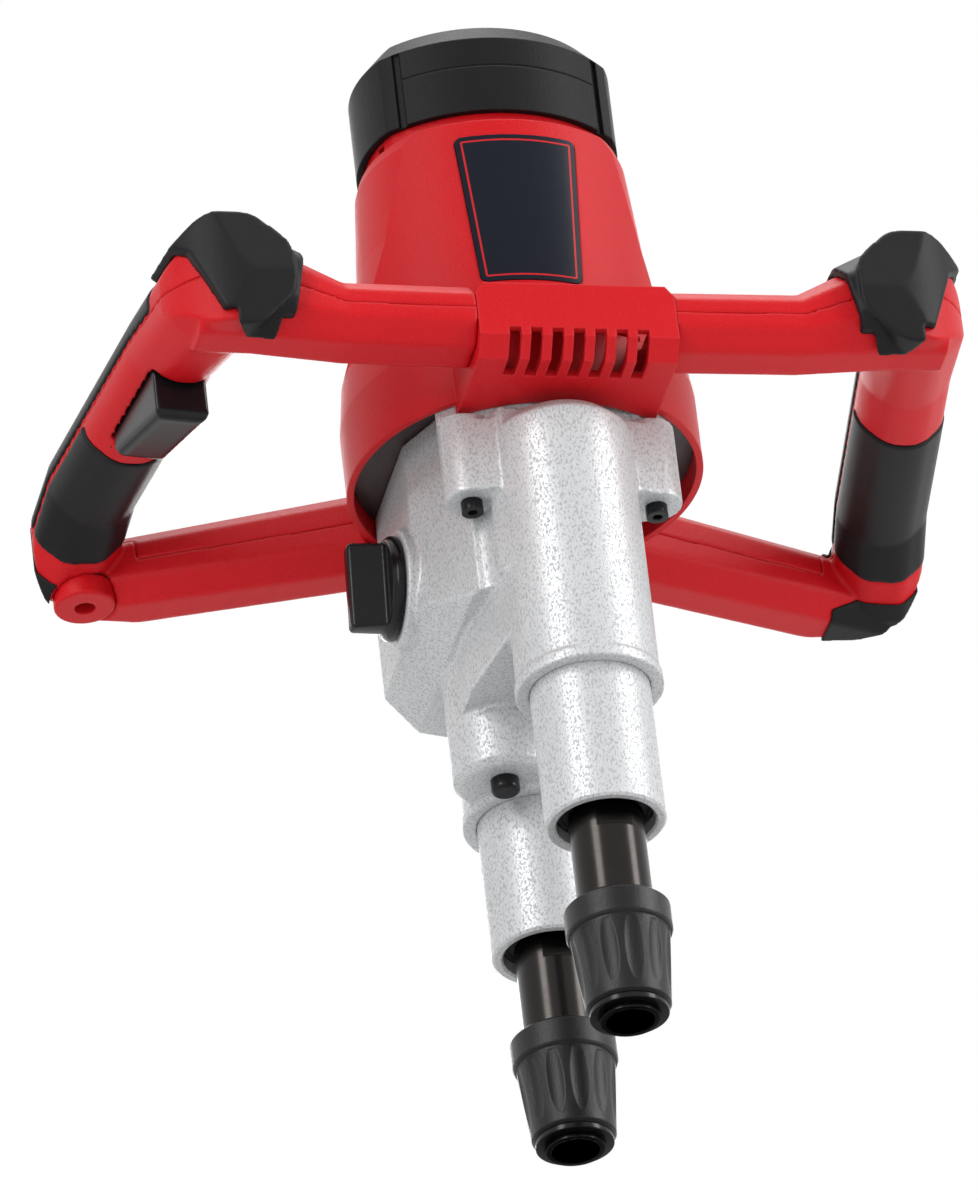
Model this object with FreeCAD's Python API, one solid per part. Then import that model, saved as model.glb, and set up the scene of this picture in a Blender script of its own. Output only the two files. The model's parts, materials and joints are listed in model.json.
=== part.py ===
import FreeCAD, Part
import math
import os

# Twin-spindle mixing drill, in millimetres.
# The origin is the mouth of the front stirrer socket, +Z goes up to the motor,
# +Y goes from the front spindle to the rear one, and the trigger is on the -X side.

# Where the axes stand
spindle_spacing = 105.0
motor_setback = 59.0
drive_shaft_side = 18.0

# Fits and allowances
press_gap = 0.03
running_gap = 0.06
seat_gap = 0.10
clear_gap = 0.40
cut_over = 2.0

# Stirrer couplings and spindles, from the socket's mouth upwards
socket_radius = 10.0
socket_wall = 2.4
socket_depth = 16.0
hex_across = 16.0
hex_depth = 24.0
ball_radius = 2.6
ball_height = 22.0
ball_count = 3
ball_reach = 9.85
coupling_drop = 5.0
coupling_nose_radius = 17.5
coupling_waist_radius = 20.5
coupling_waist_height = 40.6
coupling_collar_radius = 21.8
coupling_top = 52.1
coupling_travel = 8.0
coupling_slide_gap = 0.3
coupling_groove_depth = 2.1
coupling_groove_half = 3.0
coupling_edge = 1.2
flute_count = 12
flute_radius = 9.0
flute_depth = 1.1
flute_low = 10.0
flute_high = 38.0
spring_ledge = 31.0
spring_wire = 1.4
spring_turns = 4.0
spring_seat_gap = 0.15
spring_bore_radius = 17.0
spindle_radius = 15.5
spindle_shoulder = 49.0
flats_across = 27.0
flats_low = 84.0
flats_high = 96.0
ring_radius = 16.2
ring_low = 2.4
ring_thick = 2.2
seal_shaft_radius = 12.0
seal_low = 98.0
seal_thick = 7.0
bearing_low = 106.0
spindle_bearing_radius = 20.0
spindle_bearing_bore = 8.5
spindle_bearing_thick = 12.0
top_bearing_radius = 16.0
top_bearing_bore = 7.5
top_bearing_thick = 9.0

# Gear case casting and the two sleeves below it
sleeve_radius = 24.8
sleeve_mouth_radius = 20.3
sleeve_low = 92.0
sleeve_top = 178.0
sleeve_inner_radius = 17.0
sleeve_edge = 1.0
tube_radius = 29.6
tube_low = 155.0
tube_rim = 1.0
tube_rim_height = 5.0
front_tube_top = 282.0
front_tube_edge = 6.0
case_wall = 5.0
case_left = 54.0
case_left_front = 47.5
case_left_rear = 122.0
case_right = 33.0
case_right_front = 22.0
case_core_left = 37.0
case_core_low = 184.0
case_box_low = 211.0
case_box_bevel = 14.0
case_top = 303.0
case_ledge = 3.0
ear_low = 292.0
case_top_radius = 70.8
case_top_low = 285.0
rear_top_low = 276.0
case_top_hollow_low = 271.0
boss_radius = 22.0
boss_low = 157.0
boss_edge = 3.0
plug_radius = 4.0
plug_head_radius = 6.0
plug_side = 2.0
plug_front = 5.0
plug_head_height = 6.0
plug_edge = 1.6
plug_depth = 7.0
screw_side = 39.0
screw_reach = 55.0
screw_radius = 2.5
screw_head_radius = 4.6
screw_head_height = 5.0
screw_hex_across = 4.0
screw_boss_radius = 11.0
screw_boss_low = 248.0
screw_grip = 8.0
driver_channel_radius = 8.0
driver_channel_low = 196.0

# Gear train
pressure_angle = 22.0
addendum_share = 0.7
dedendum_share = 1.25
backlash_share = 0.18
shield_share = 0.1
flank_points = 4
input_module = 1.0
pinion_teeth = 10
input_wheel_teeth = 40
speed_module = 1.25
low_pinion_teeth = 12
low_gear_teeth = 33
high_pinion_teeth = 18
high_gear_teeth = 27
output_module = 1.5
output_pinion_teeth = 11
spindle_gear_teeth = 32
plate_low = 214.0
plate_thick = 9.0
output_gear_low = 194.0
output_gear_thick = 15.0
high_gear_low = 227.0
speed_gear_thick = 11.0
input_wheel_low = 284.0
input_wheel_thick = 11.0
pinion_thick = 16.0
lay_shaft_radius = 5.0
lay_bearing_radius = 9.5
lay_bearing_bore = 4.0
lay_bearing_thick = 6.0
drive_radius = 7.0
drive_low_bearing_radius = 13.0
drive_bearing_bore = 5.0
drive_bearing_thick = 8.0
drive_low_bearing_low = 179.5
idler_pin_radius = 5.0

# Gear change
dog_count = 3
dog_height = 3.0
dog_inner_radius = 8.6
dog_outer_radius = 12.4
dog_degrees = 52.0
dog_gap = 0.5
sleeve_body_height = 12.0
sleeve_body_radius = 13.0
sleeve_groove_radius = 10.4
fork_thick = 4.0
fork_side_gap = 0.2
fork_tab_thick = 4.0
fork_width = 30.0
fork_rod_radius = 3.0
fork_rod_setback = 24.0
fork_hub_radius = 6.0
fork_hub_height = 14.0
fork_rod_top = 298.0
fork_rod_seat = 3.5
selector_setback = 69.0
selector_height = 246.0
selector_throw = 5.0
selector_turn = 90.0
selector_pin_radius = 2.5
selector_pin_length = 7.0
selector_slot_gap = 0.35
selector_shaft_radius = 6.0
selector_boss_radius = 25.0
selector_boss_length = 4.0
selector_disc_radius = 22.0
selector_disc_thick = 5.0
selector_wing_length = 38.0
selector_wing_foot = 13.0
selector_wing_tip = 8.0
selector_wing_height = 15.0
selector_wing_lean = 10.0
selector_seal_radius = 9.0
selector_seal_thick = 3.0

# Motor flange (lid of the gear case)
flange_plate_radius = 71.3
flange_plate_thick = 8.0
motor_seat_radius = 22.0
motor_seat_height = 10.0
motor_bearing_radius = 16.0
motor_bearing_bore = 6.0
motor_bearing_thick = 10.0
motor_bearing_floor = 7.0

# Motor housing
housing_wall = 3.0
skirt_low = 293.0
skirt_radius = 74.5
skirt_high = 323.0
flare_radius = 72.0
flare_height = 343.0
waist_radius = 64.5
waist_height = 367.0
body_radius = 60.5
body_height = 395.0
shoulder_radius = 57.2
shoulder_height = 436.0
shoulder_edge_radius = 55.6
shoulder_top = 441.0
neck_top = 456.0
neck_inset = 3.4
neck_slot_count = 20
neck_slot_width = 5.0
neck_slot_low = 442.0
neck_slot_high = 448.0
housing_ledge_radius = 61.0
housing_ledge_thick = 12.0
front_reach = 51.0
stator_rib_width = 12.0
bridge_ledge_radius = 46.0
bridge_ledge_thick = 6.0

# Air-outlet block at the front of the housing
outlet_front = 51.5
outlet_half_width = 42.0
outlet_low = 287.6
outlet_top = 327.0
outlet_chin = 7.5
outlet_brow_low = 320.0
outlet_brow_back = 12.0
outlet_rise_top = 359.0
outlet_wall = 3.5
outlet_slot_count = 7
outlet_slot_pitch = 9.0
outlet_slot_width = 5.0
outlet_slot_top = 298.6
outlet_slot_back = 31.5
outlet_window_half = 30.0
outlet_window_low = 326.0
outlet_window_top = 340.0
outlet_shoulder_width = 33.0

# Motor cap
cap_radius = 55.2
cap_front_radius = 68.0
cap_front_reach = 46.5
cap_low = 449.0
cap_wall_top = 485.0
cap_shoulder_run = 9.0
cap_shoulder_top = 496.0
cap_top = 499.0
cap_wall = 3.0
cap_groove_side = 42.5
cap_groove_width = 3.0
cap_groove_depth = 1.5
cap_seam_height = 471.0
cap_seam_width = 0.9
cap_seam_depth = 0.5
cap_screw_radius = 1.8
cap_screw_head_radius = 3.4
cap_screw_head_height = 2.6
cap_screw_side = 38.0
cap_screw_back = 11.0
cap_post_radius = 5.0
cap_screw_top = 470.0

# Label plate
label_top_half = 26.0
label_low_half = 21.5
label_low = 361.0
label_high = 433.0
label_thick = 1.2
label_sink = 0.7
label_corner = 3.0

# Motor
stator_radius = 47.8
stator_bore_radius = 25.0
stator_low = 356.0
stator_length = 56.0
coil_overhang = 9.0
coil_inner_radius = 28.0
coil_outer_radius = 45.0
coil_degrees = 100.0
coil_slot_degrees = 2.0
shaft_radius = 6.0
shaft_top_radius = 4.0
rotor_radius = 24.2
winding_radius = 20.0
winding_overhang = 8.0
rotor_slot_count = 12
rotor_slot_width = 2.4
rotor_slot_depth = 3.0
commutator_radius = 15.0
commutator_length = 20.0
commutator_gap = 6.0
commutator_bar_count = 24
commutator_bar_slit = 0.6
commutator_slit_depth = 1.0
fan_radius = 47.0
fan_low = 322.0
fan_disc_thick = 3.0
fan_blade_height = 12.0
fan_blade_count = 11
fan_blade_thick = 2.0
fan_hub_radius = 13.0
bridge_low = 446.0
bridge_thick = 5.0
bridge_cup_radius = 15.0
bridge_cup_height = 16.0
bridge_arm_width = 34.0
upper_bearing_radius = 11.0
upper_bearing_thick = 7.0
brush_width = 8.0
brush_height = 12.0
brush_length = 17.0
brush_gap = 0.3
brush_box_wall = 2.0
brush_box_length = 26.0
brush_box_start = 17.5

# Handle loops, drawn for the +X side as straight runs between two cross-sections.
# A cross-section is: sideways, back from the middle between the spindles, height,
# width, height, corner chamfer and corner rounding.
arm_start = (42.0, -87.5, 308.0, 33.0, 29.0, 8.0, 4.0)
arm_end = (96.0, -88.5, 308.0, 33.0, 29.0, 8.0, 4.0)
knuckle_start = (134.0, -89.5, 319.5, 40.0, 47.0, 12.0, 6.0)
knuckle_end = (158.0, -89.5, 319.5, 40.0, 47.0, 12.0, 6.0)
grip_nose = (142.0, -128.0, 318.8, 42.0, 46.5, 13.0, 11.0)
grip_neck = (148.3, -85.0, 320.5, 42.0, 47.0, 13.0, 11.0)
grip_start = (156.0, -40.0, 325.0, 38.0, 41.0, 12.0, 15.0)
grip_end = (170.0, 65.0, 324.0, 38.0, 40.0, 12.0, 15.0)
tail_start = (175.0, 105.0, 309.0, 38.0, 34.0, 10.0, 6.0)
tail_end = (179.6, 142.0, 305.3, 38.0, 30.3, 10.0, 6.0)
rear_arm_start = (215.0, 135.3, 306.0, 33.0, 29.0, 8.0, 4.0)
rear_arm_end = (30.0, 57.9, 301.0, 33.0, 39.0, 9.0, 4.0)
arm_heading = 0.0
grip_heading = 82.4
rear_heading = 202.7
plan_front = -110.5
plan_rear = 115.0
plan_front_side = 166.5
plan_rear_side = 197.5
plan_front_round = 38.0
plan_rear_round = 32.0
handle_wall = 4.5
handle_end_wall = 6.0
round_least = 0.8
pad_depth = 2.2
pad_proud = 0.5
pad_gap = 0.15
pad_seam = 1.6
pad_side = 25.0
pad_front = -11.0
pad_front_switch = 17.5
pad_rear = 85.0
upper_pad_front = -70.0
upper_pad_rear = 88.0
bumper_proud = 4.0
rear_bumper_proud = 1.0
bumper_gap = 0.06
bumper_top_side = 112.0
bumper_low_side = 121.0
bumper_low = 291.0
bumper_high = 336.0
bumper_back = -91.0
bumper_heel_high = 300.0
bumper_heel_back = -98.5
bumper_heel_waist = -117.0
bumper_heel_inner = 127.0
bumper_heel_outer = 139.0
bumper_saddle_low = 333.0
bumper_pad_gap = 0.3
bumper_ridge_height = 317.0
bumper_ridge_low = 297.0
bumper_edge_thick = 1.9
bumper_cheek_height = 331.0
bumper_cheek_side = 161.0
bumper_cheek_low = 293.0
bumper_cheek_low_side = 147.0
bumper_cheek_run = 10.0
bumper_cheek_rise = 9.0
bumper_rear_front = 96.0
bumper_rear_side = 152.0
bumper_rear_lean = 12.0
handle_screw_radius = 1.8
handle_screw_head_radius = 3.4
handle_screw_head_height = 2.4
handle_screw_sink = 1.0
handle_screw_hex_across = 2.5
handle_screw_hex_depth = 1.4
handle_post_radius = 4.6
handle_post_rows = (
    (66.0, -87.8),
    (141.0, -82.0),
    (172.2, 92.0),
    (120.0, 95.5),
)

# Trigger, in the grip of the -X side, drawn on the +X side and mirrored
trigger_front = -45.4
trigger_length = 52.0
trigger_width = 23.0
trigger_low = 287.5
trigger_top = 316.0
trigger_rise = 13.0
trigger_side_gap = 0.5
trigger_nose_gap = 2.0
trigger_rear_gap = 1.2
trigger_edge = 4.0
trigger_pivot_inset = 5.0
trigger_pivot_height = 310.0
trigger_lug_width = 10.0
trigger_lug_drop = 3.0
trigger_pin_radius = 2.0
trigger_pin_length = 22.0
trigger_slot_top = 318.0
switch_low = 330.0
switch_height = 11.0
switch_length = 44.0
switch_width = 19.0
plunger_radius = 2.5
trigger_press = 2.8

# Cable gland
gland_radius = 13.0
gland_bore_radius = 4.5
gland_length = 9.0
gland_side = 169.0
gland_back = 104.0
gland_low = 288.0
gland_edge = 1.5

middle = spindle_spacing / 2
front_axis = (0.0, 0.0)
rear_axis = (0.0, spindle_spacing)
motor_axis = (0.0, motor_setback)


def vec(x, y, z):
    return FreeCAD.Vector(x, y, z)


def rod(radius, low, high, at):
    return Part.makeCylinder(radius, high - low, vec(at[0], at[1], low))


def rod_along_x(radius, start, end, y, z):
    return Part.makeCylinder(radius, end - start, vec(start, y, z), vec(1, 0, 0))


def ring(outer, inner, low, high, at):
    return rod(outer, low, high, at).cut(rod(inner, low - cut_over, high + cut_over, at))


def block(x_low, x_high, y_low, y_high, z_low, z_high):
    return Part.makeBox(x_high - x_low, y_high - y_low, z_high - z_low, vec(x_low, y_low, z_low))


def polygon_face(points):
    return Part.Face(Part.makePolygon(points + [points[0]]))


def prism(points, low, high):
    face = polygon_face([vec(x, y, low) for x, y in points])
    return face.extrude(vec(0, 0, high - low))


def slab_along_x(points, start, end):
    face = polygon_face([vec(start, y, z) for y, z in points])
    return face.extrude(vec(end - start, 0, 0))


def slab_along_y(points, start, end):
    face = polygon_face([vec(x, start, z) for x, z in points])
    return face.extrude(vec(0, end - start, 0))


def turned(profile, at):
    face = polygon_face([vec(at[0] + r, at[1], z) for r, z in profile])
    return face.revolve(vec(at[0], at[1], 0), vec(0, 0, 1), 360)


def joined(shapes):
    return shapes[0].multiFuse(shapes[1:]).removeSplitter()


def around(shape, at, count):
    turns = []
    for index in range(count):
        copy = shape.copy()
        copy.rotate(vec(at[0], at[1], 0), vec(0, 0, 1), 360 * index / count)
        turns.append(copy)
    return turns


def hexagon(across, low, high, at):
    corner = across / 2 / math.cos(math.radians(30))
    points = []
    for index in range(6):
        angle = math.radians(60 * index)
        points.append((at[0] + corner * math.cos(angle), at[1] + corner * math.sin(angle)))
    return prism(points, low, high)


def save(name, shape):
    os.makedirs("parts", exist_ok=True)
    solids = shape.Solids
    whole = solids[0] if len(solids) == 1 else Part.makeCompound(solids)
    whole.exportStep("parts/" + name + ".step")


def save_mirrored(name, shape):
    save(name, shape.mirror(vec(0, 0, 0), vec(1, 0, 0)))


def pitch_radius(teeth, module):
    return teeth * module / 2


def tip_radius(teeth, module):
    return pitch_radius(teeth, module) + addendum_share * module


def involute(angle):
    return math.tan(angle) - angle


def gear(teeth, module, low, high, at, phase):
    # One polygon around all the teeth, each flank a few points of the involute.
    pitch = pitch_radius(teeth, module)
    base = pitch * math.cos(math.radians(pressure_angle))
    tip = tip_radius(teeth, module)
    root = pitch - dedendum_share * module
    half = math.pi / (2 * teeth) - backlash_share * module / (2 * pitch)
    start = max(root, base)

    def half_angle(radius):
        roll = math.acos(min(1, base / max(radius, base)))
        return half + involute(math.radians(pressure_angle)) - involute(roll)

    flank = []
    if root < base:
        flank.append((root, half_angle(base)))
    for index in range(flank_points):
        radius = start + (tip - start) * index / (flank_points - 1)
        flank.append((radius, half_angle(radius)))
    points = []
    for tooth in range(teeth):
        centre = phase + 2 * math.pi * tooth / teeth
        for radius, angle in flank:
            points.append((radius, centre - angle))
        for radius, angle in reversed(flank):
            points.append((radius, centre + angle))
    spots = [(at[0] + r * math.cos(a), at[1] + r * math.sin(a)) for r, a in points]
    return prism(spots, low, high)


def mesh_phase(at, teeth, phase, mate_at, mate_teeth):
    # Turn of the mate that puts its gap where this gear's tooth crosses the line of centres.
    line = math.atan2(mate_at[1] - at[1], mate_at[0] - at[0])
    share = ((line - phase) / (2 * math.pi / teeth)) % 1
    return line + math.pi - (0.5 - share) * 2 * math.pi / mate_teeth


def circles_meet(first, first_radius, second, second_radius, side):
    gap_x = second[0] - first[0]
    gap_y = second[1] - first[1]
    gap = math.hypot(gap_x, gap_y)
    along = (first_radius ** 2 - second_radius ** 2 + gap ** 2) / (2 * gap)
    across = math.sqrt(first_radius ** 2 - along ** 2) * side
    x = first[0] + (along * gap_x - across * gap_y) / gap
    y = first[1] + (along * gap_y + across * gap_x) / gap
    return (x, y)


def tangent_spot(point, centre, radius, side):
    reach = math.hypot(point[0] - centre[0], point[1] - centre[1])
    angle = math.atan2(point[1] - centre[1], point[0] - centre[0])
    angle = angle + side * math.acos(radius / reach)
    return (centre[0] + radius * math.cos(angle), centre[1] + radius * math.sin(angle))


# Gear centres: each distance is the sum of the two pitch radii
input_distance = pitch_radius(pinion_teeth + input_wheel_teeth, input_module)
speed_distance = pitch_radius(low_pinion_teeth + low_gear_teeth, speed_module)
output_distance = pitch_radius(output_pinion_teeth + spindle_gear_teeth, output_module)
drive_back = math.sqrt(output_distance ** 2 - drive_shaft_side ** 2)
drive_axis = (-drive_shaft_side, spindle_spacing - drive_back)
plug_axis = (drive_axis[0] - plug_side, drive_axis[1] - plug_front)
lay_axis = circles_meet(motor_axis, input_distance, drive_axis, speed_distance, 1)
drive_to_front = math.hypot(drive_axis[0], drive_axis[1])
idler_room = drive_to_front - output_distance
idler_teeth = math.floor(idler_room / output_module) + 2
drive_idler_distance = pitch_radius(output_pinion_teeth + idler_teeth, output_module)
front_idler_distance = pitch_radius(spindle_gear_teeth + idler_teeth, output_module)
idler_axis = circles_meet(drive_axis, drive_idler_distance, front_axis, front_idler_distance, 1)

pinion_phase = 0.0
input_wheel_phase = mesh_phase(motor_axis, pinion_teeth, pinion_phase, lay_axis, input_wheel_teeth)
lay_phase = 0.0
low_phase = mesh_phase(lay_axis, low_pinion_teeth, lay_phase, drive_axis, low_gear_teeth)
high_phase = mesh_phase(lay_axis, high_pinion_teeth, lay_phase, drive_axis, high_gear_teeth)
output_phase = 0.0
rear_phase = mesh_phase(drive_axis, output_pinion_teeth, output_phase, rear_axis, spindle_gear_teeth)
idler_phase = mesh_phase(drive_axis, output_pinion_teeth, output_phase, idler_axis, idler_teeth)
front_phase = mesh_phase(idler_axis, idler_teeth, idler_phase, front_axis, spindle_gear_teeth)

# Heights of the gear change, from the high gear up
shift_travel = 2 * selector_throw * math.sin(math.radians(selector_turn / 2))
high_gear_top = high_gear_low + speed_gear_thick
sleeve_dog_low = high_gear_top + dog_height + dog_gap + shift_travel
sleeve_body_low = sleeve_dog_low + dog_height
sleeve_body_top = sleeve_body_low + sleeve_body_height
low_gear_low = sleeve_body_top + dog_height + clear_gap
low_gear_top = low_gear_low + speed_gear_thick
groove_middle = sleeve_body_low + sleeve_body_height / 2
plate_top = plate_low + plate_thick
front_screws = []
for side in (-1, 1):
    front_screws.append((side * screw_side, motor_setback - screw_reach))
rear_screws = [(screw_side, motor_setback + screw_reach)]
fork_rod_axis = (
    -case_left + case_wall + fork_hub_radius + clear_gap * 2,
    selector_setback + fork_rod_setback,
)
lid_top = case_top + flange_plate_thick
socket_outer = socket_radius + socket_wall


def dogs(low, turn, at):
    # Claw teeth of the gear change, evenly spaced around the shaft
    tall = ring(dog_outer_radius, dog_inner_radius, low, low + dog_height, at)
    reach = 2 * dog_outer_radius
    half = math.radians(dog_degrees / 2)
    wedge_points = [(at[0], at[1])]
    wedge_points.append((at[0] + reach, at[1] - reach * math.tan(half)))
    wedge_points.append((at[0] + reach, at[1] + reach * math.tan(half)))
    wedge = prism(wedge_points, low - cut_over, low + dog_height + cut_over)
    claw = tall.common(wedge)
    claw.rotate(vec(at[0], at[1], 0), vec(0, 0, 1), turn)
    return around(claw, at, dog_count)


def socket_screw(at, low, high, radius, head_radius, head_height, across):
    # Cap screw whose head faces down
    body = rod(radius, low, high, at).fuse(rod(head_radius, low - head_height, low, at))
    socket = hexagon(across, low - head_height - cut_over, low - head_height / 2, at)
    return body.cut(socket)


# Spindle with its stirrer socket
def spindle(at):
    profile = [
        (0, 0),
        (socket_outer, 0),
        (socket_outer, spindle_shoulder),
        (spindle_radius, spindle_shoulder),
        (spindle_radius, flats_high),
        (seal_shaft_radius, flats_high),
        (seal_shaft_radius, bearing_low),
        (spindle_bearing_bore - press_gap, bearing_low),
        (spindle_bearing_bore - press_gap, plate_low),
        (top_bearing_bore - press_gap, plate_low),
        (top_bearing_bore - press_gap, plate_top),
        (0, plate_top),
    ]
    body = turned(profile, at)
    body = body.cut(rod(socket_radius, -cut_over, socket_depth, at))
    body = body.cut(hexagon(hex_across, -cut_over, socket_depth + hex_depth, at))
    for side in (-1, 1):
        flat = block(
            at[0] - spindle_radius * 2,
            at[0] + spindle_radius * 2,
            at[1] + min(side * flats_across / 2, side * spindle_radius * 2),
            at[1] + max(side * flats_across / 2, side * spindle_radius * 2),
            flats_low,
            flats_high,
        )
        body = body.cut(flat)
    hole_end = at[0] + socket_outer + cut_over
    hole = rod_along_x(ball_radius + running_gap, at[0], hole_end, at[1], ball_height)
    for turn in around(hole, at, ball_count):
        body = body.cut(turn)
    return body


def coupling_sleeve(at):
    bore = socket_outer + coupling_slide_gap
    groove = bore + coupling_groove_depth
    groove_height = ball_height - coupling_travel
    outer = [
        (0, coupling_drop),
        (coupling_nose_radius - coupling_edge, coupling_drop),
        (coupling_nose_radius, coupling_drop + coupling_edge),
        (coupling_waist_radius, coupling_waist_height - coupling_edge),
        (coupling_collar_radius - coupling_edge / 2, coupling_waist_height - coupling_edge),
        (coupling_collar_radius, coupling_waist_height),
        (coupling_collar_radius, coupling_top - coupling_edge),
        (coupling_collar_radius - coupling_edge, coupling_top),
        (0, coupling_top),
    ]
    body = turned(outer, at)
    body = body.cut(rod(bore, 0, spring_ledge + cut_over, at))
    body = body.cut(rod(spring_bore_radius, spring_ledge, coupling_top + cut_over, at))
    groove_low = groove_height - coupling_groove_half
    groove_high = groove_height + coupling_groove_half
    body = body.cut(rod(groove, groove_low, groove_high, at))
    # Lens-shaped finger flutes, cut along the taper
    lean = math.atan2(coupling_waist_radius - coupling_nose_radius, coupling_waist_height - coupling_drop)
    middle_height = (flute_low + flute_high) / 2
    wall = coupling_nose_radius + (middle_height - coupling_drop) * math.tan(lean)
    lens_radius = ((flute_high - flute_low) ** 2 / 4 + flute_depth ** 2) / (2 * flute_depth)
    lens = Part.makeTorus(lens_radius + flute_radius, flute_radius, vec(0, 0, 0), vec(0, 1, 0))
    lens.translate(vec(wall - flute_depth + lens_radius + flute_radius * 2, 0, middle_height))
    trim = block(
        0,
        wall + flute_radius,
        -flute_radius,
        flute_radius,
        flute_low,
        flute_high,
    )
    lens = lens.common(trim)
    lens.rotate(vec(wall, 0, middle_height), vec(0, 1, 0), math.degrees(lean))
    lens.translate(vec(at[0], at[1], 0))
    for turn in around(lens, at, flute_count):
        body = body.cut(turn)
    return body


def coupling_spring(at):
    low = spring_ledge + spring_seat_gap + spring_wire / 2
    high = spindle_shoulder - spring_seat_gap - spring_wire / 2
    radius = (socket_outer + spring_bore_radius) / 2
    path = Part.makeHelix((high - low) / spring_turns, high - low, radius)
    start = Part.Wire(Part.makeCircle(spring_wire / 2, vec(radius, 0, 0), vec(0, 1, 0)))
    coil = Part.Wire(path).makePipeShell([start], True, True)
    coil.translate(vec(at[0], at[1], low))
    return coil


def coupling_balls(at):
    ball = Part.makeSphere(ball_radius, vec(at[0] + ball_reach, at[1], ball_height))
    return Part.makeCompound(around(ball, at, ball_count))


def coupling_ring(at):
    body = ring(ring_radius, socket_outer + press_gap, ring_low, ring_low + ring_thick, at)
    return body


def bearing(outer, inner, low, thick, at):
    # Two races and a shield between them
    race = (outer - inner) / 4
    shield_in = thick * shield_share
    body = ring(outer, inner, low, low + thick, at)
    for face in (low - cut_over, low + thick - shield_in):
        groove = ring(outer - race, inner + race, face, face + shield_in + cut_over, at)
        body = body.cut(groove)
    return body


def oil_seal(at):
    lip_radius = seal_shaft_radius + running_gap
    body = ring(sleeve_mouth_radius - press_gap, lip_radius, seal_low, seal_low + seal_thick, at)
    lip = ring(
        sleeve_mouth_radius - sleeve_edge * 2,
        seal_shaft_radius + sleeve_edge * 2,
        seal_low - cut_over,
        seal_low + sleeve_edge,
        at,
    )
    return body.cut(lip)


seals = []
spindle_bearings = []
for side_name, axis in (("front", front_axis), ("rear", rear_axis)):
    save(side_name + "_spindle", spindle(axis))
    save(side_name + "_coupling_sleeve", coupling_sleeve(axis))
    save(side_name + "_coupling_spring", coupling_spring(axis))
    save(side_name + "_locking_balls", coupling_balls(axis))
    save(side_name + "_coupling_ring", coupling_ring(axis))
    seals.append(oil_seal(axis))
    lower_race = spindle_bearing_radius - press_gap
    lower_bore = spindle_bearing_bore + running_gap
    spindle_bearings.append(bearing(lower_race, lower_bore, bearing_low, spindle_bearing_thick, axis))
    upper_race = top_bearing_radius - press_gap
    upper_bore = top_bearing_bore + running_gap
    spindle_bearings.append(bearing(upper_race, upper_bore, plate_low, top_bearing_thick, axis))
save("oil_seals", Part.makeCompound(seals))
save("spindle_bearings", Part.makeCompound(spindle_bearings))


# Spindle sleeves, pressed up into the gear case's two tubes
def spindle_sleeve(at):
    body = rod(sleeve_radius, sleeve_low, sleeve_top, at)
    body = body.cut(rod(sleeve_mouth_radius, sleeve_low - cut_over, bearing_low, at))
    bearing_top = bearing_low + spindle_bearing_thick
    body = body.cut(rod(spindle_bearing_radius, bearing_low - cut_over, bearing_top, at))
    body = body.cut(rod(sleeve_inner_radius, sleeve_low, sleeve_top + cut_over, at))
    low_edges = [edge for edge in body.Edges if abs(edge.BoundBox.ZMin - sleeve_low) < press_gap
                 and abs(edge.BoundBox.ZMax - sleeve_low) < press_gap]
    return body.makeChamfer(sleeve_edge, low_edges)


save("front_sleeve", spindle_sleeve(front_axis))
save("rear_sleeve", spindle_sleeve(rear_axis))

# Gear case
def case_outline(shrink):
    # Plan of the gear box between the two tubes, shrunk for the hollow
    radius = tube_radius - shrink
    corners = [
        (-case_left + shrink, case_left_front + shrink),
        (-case_left + shrink, case_left_rear - shrink),
        (case_right - shrink, spindle_spacing),
        (case_right - shrink, case_right_front),
    ]
    points = [
        tangent_spot(corners[0], front_axis, radius, 1),
        corners[0],
        corners[1],
        tangent_spot(corners[1], rear_axis, radius, -1),
        corners[2],
        corners[3],
        tangent_spot(corners[3], front_axis, radius, -1),
    ]
    return points


def core_outline(shrink):
    radius = tube_radius - shrink
    left = -case_core_left + shrink
    right = case_right - shrink
    return [
        (-radius, front_axis[1]),
        (left, case_left_front + shrink),
        (left, rear_axis[1] - radius / 2),
        (-radius, rear_axis[1]),
        (radius, rear_axis[1]),
        (right, rear_axis[1] - radius / 2),
        (right, case_right_front + shrink),
        (radius, front_axis[1]),
    ]


def case_bevel(inset):
    # Everything below the slanted lower left edge of the box, moved in for the hollow
    edge = case_box_low + case_box_bevel + inset * math.sqrt(2)
    reach = case_left
    return slab_along_y(
        [
            (-case_left - reach, edge + reach),
            (-case_left - reach, edge - reach),
            (-case_left + reach, edge - reach),
        ],
        case_left_front - reach,
        case_left_rear + reach,
    )


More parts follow.
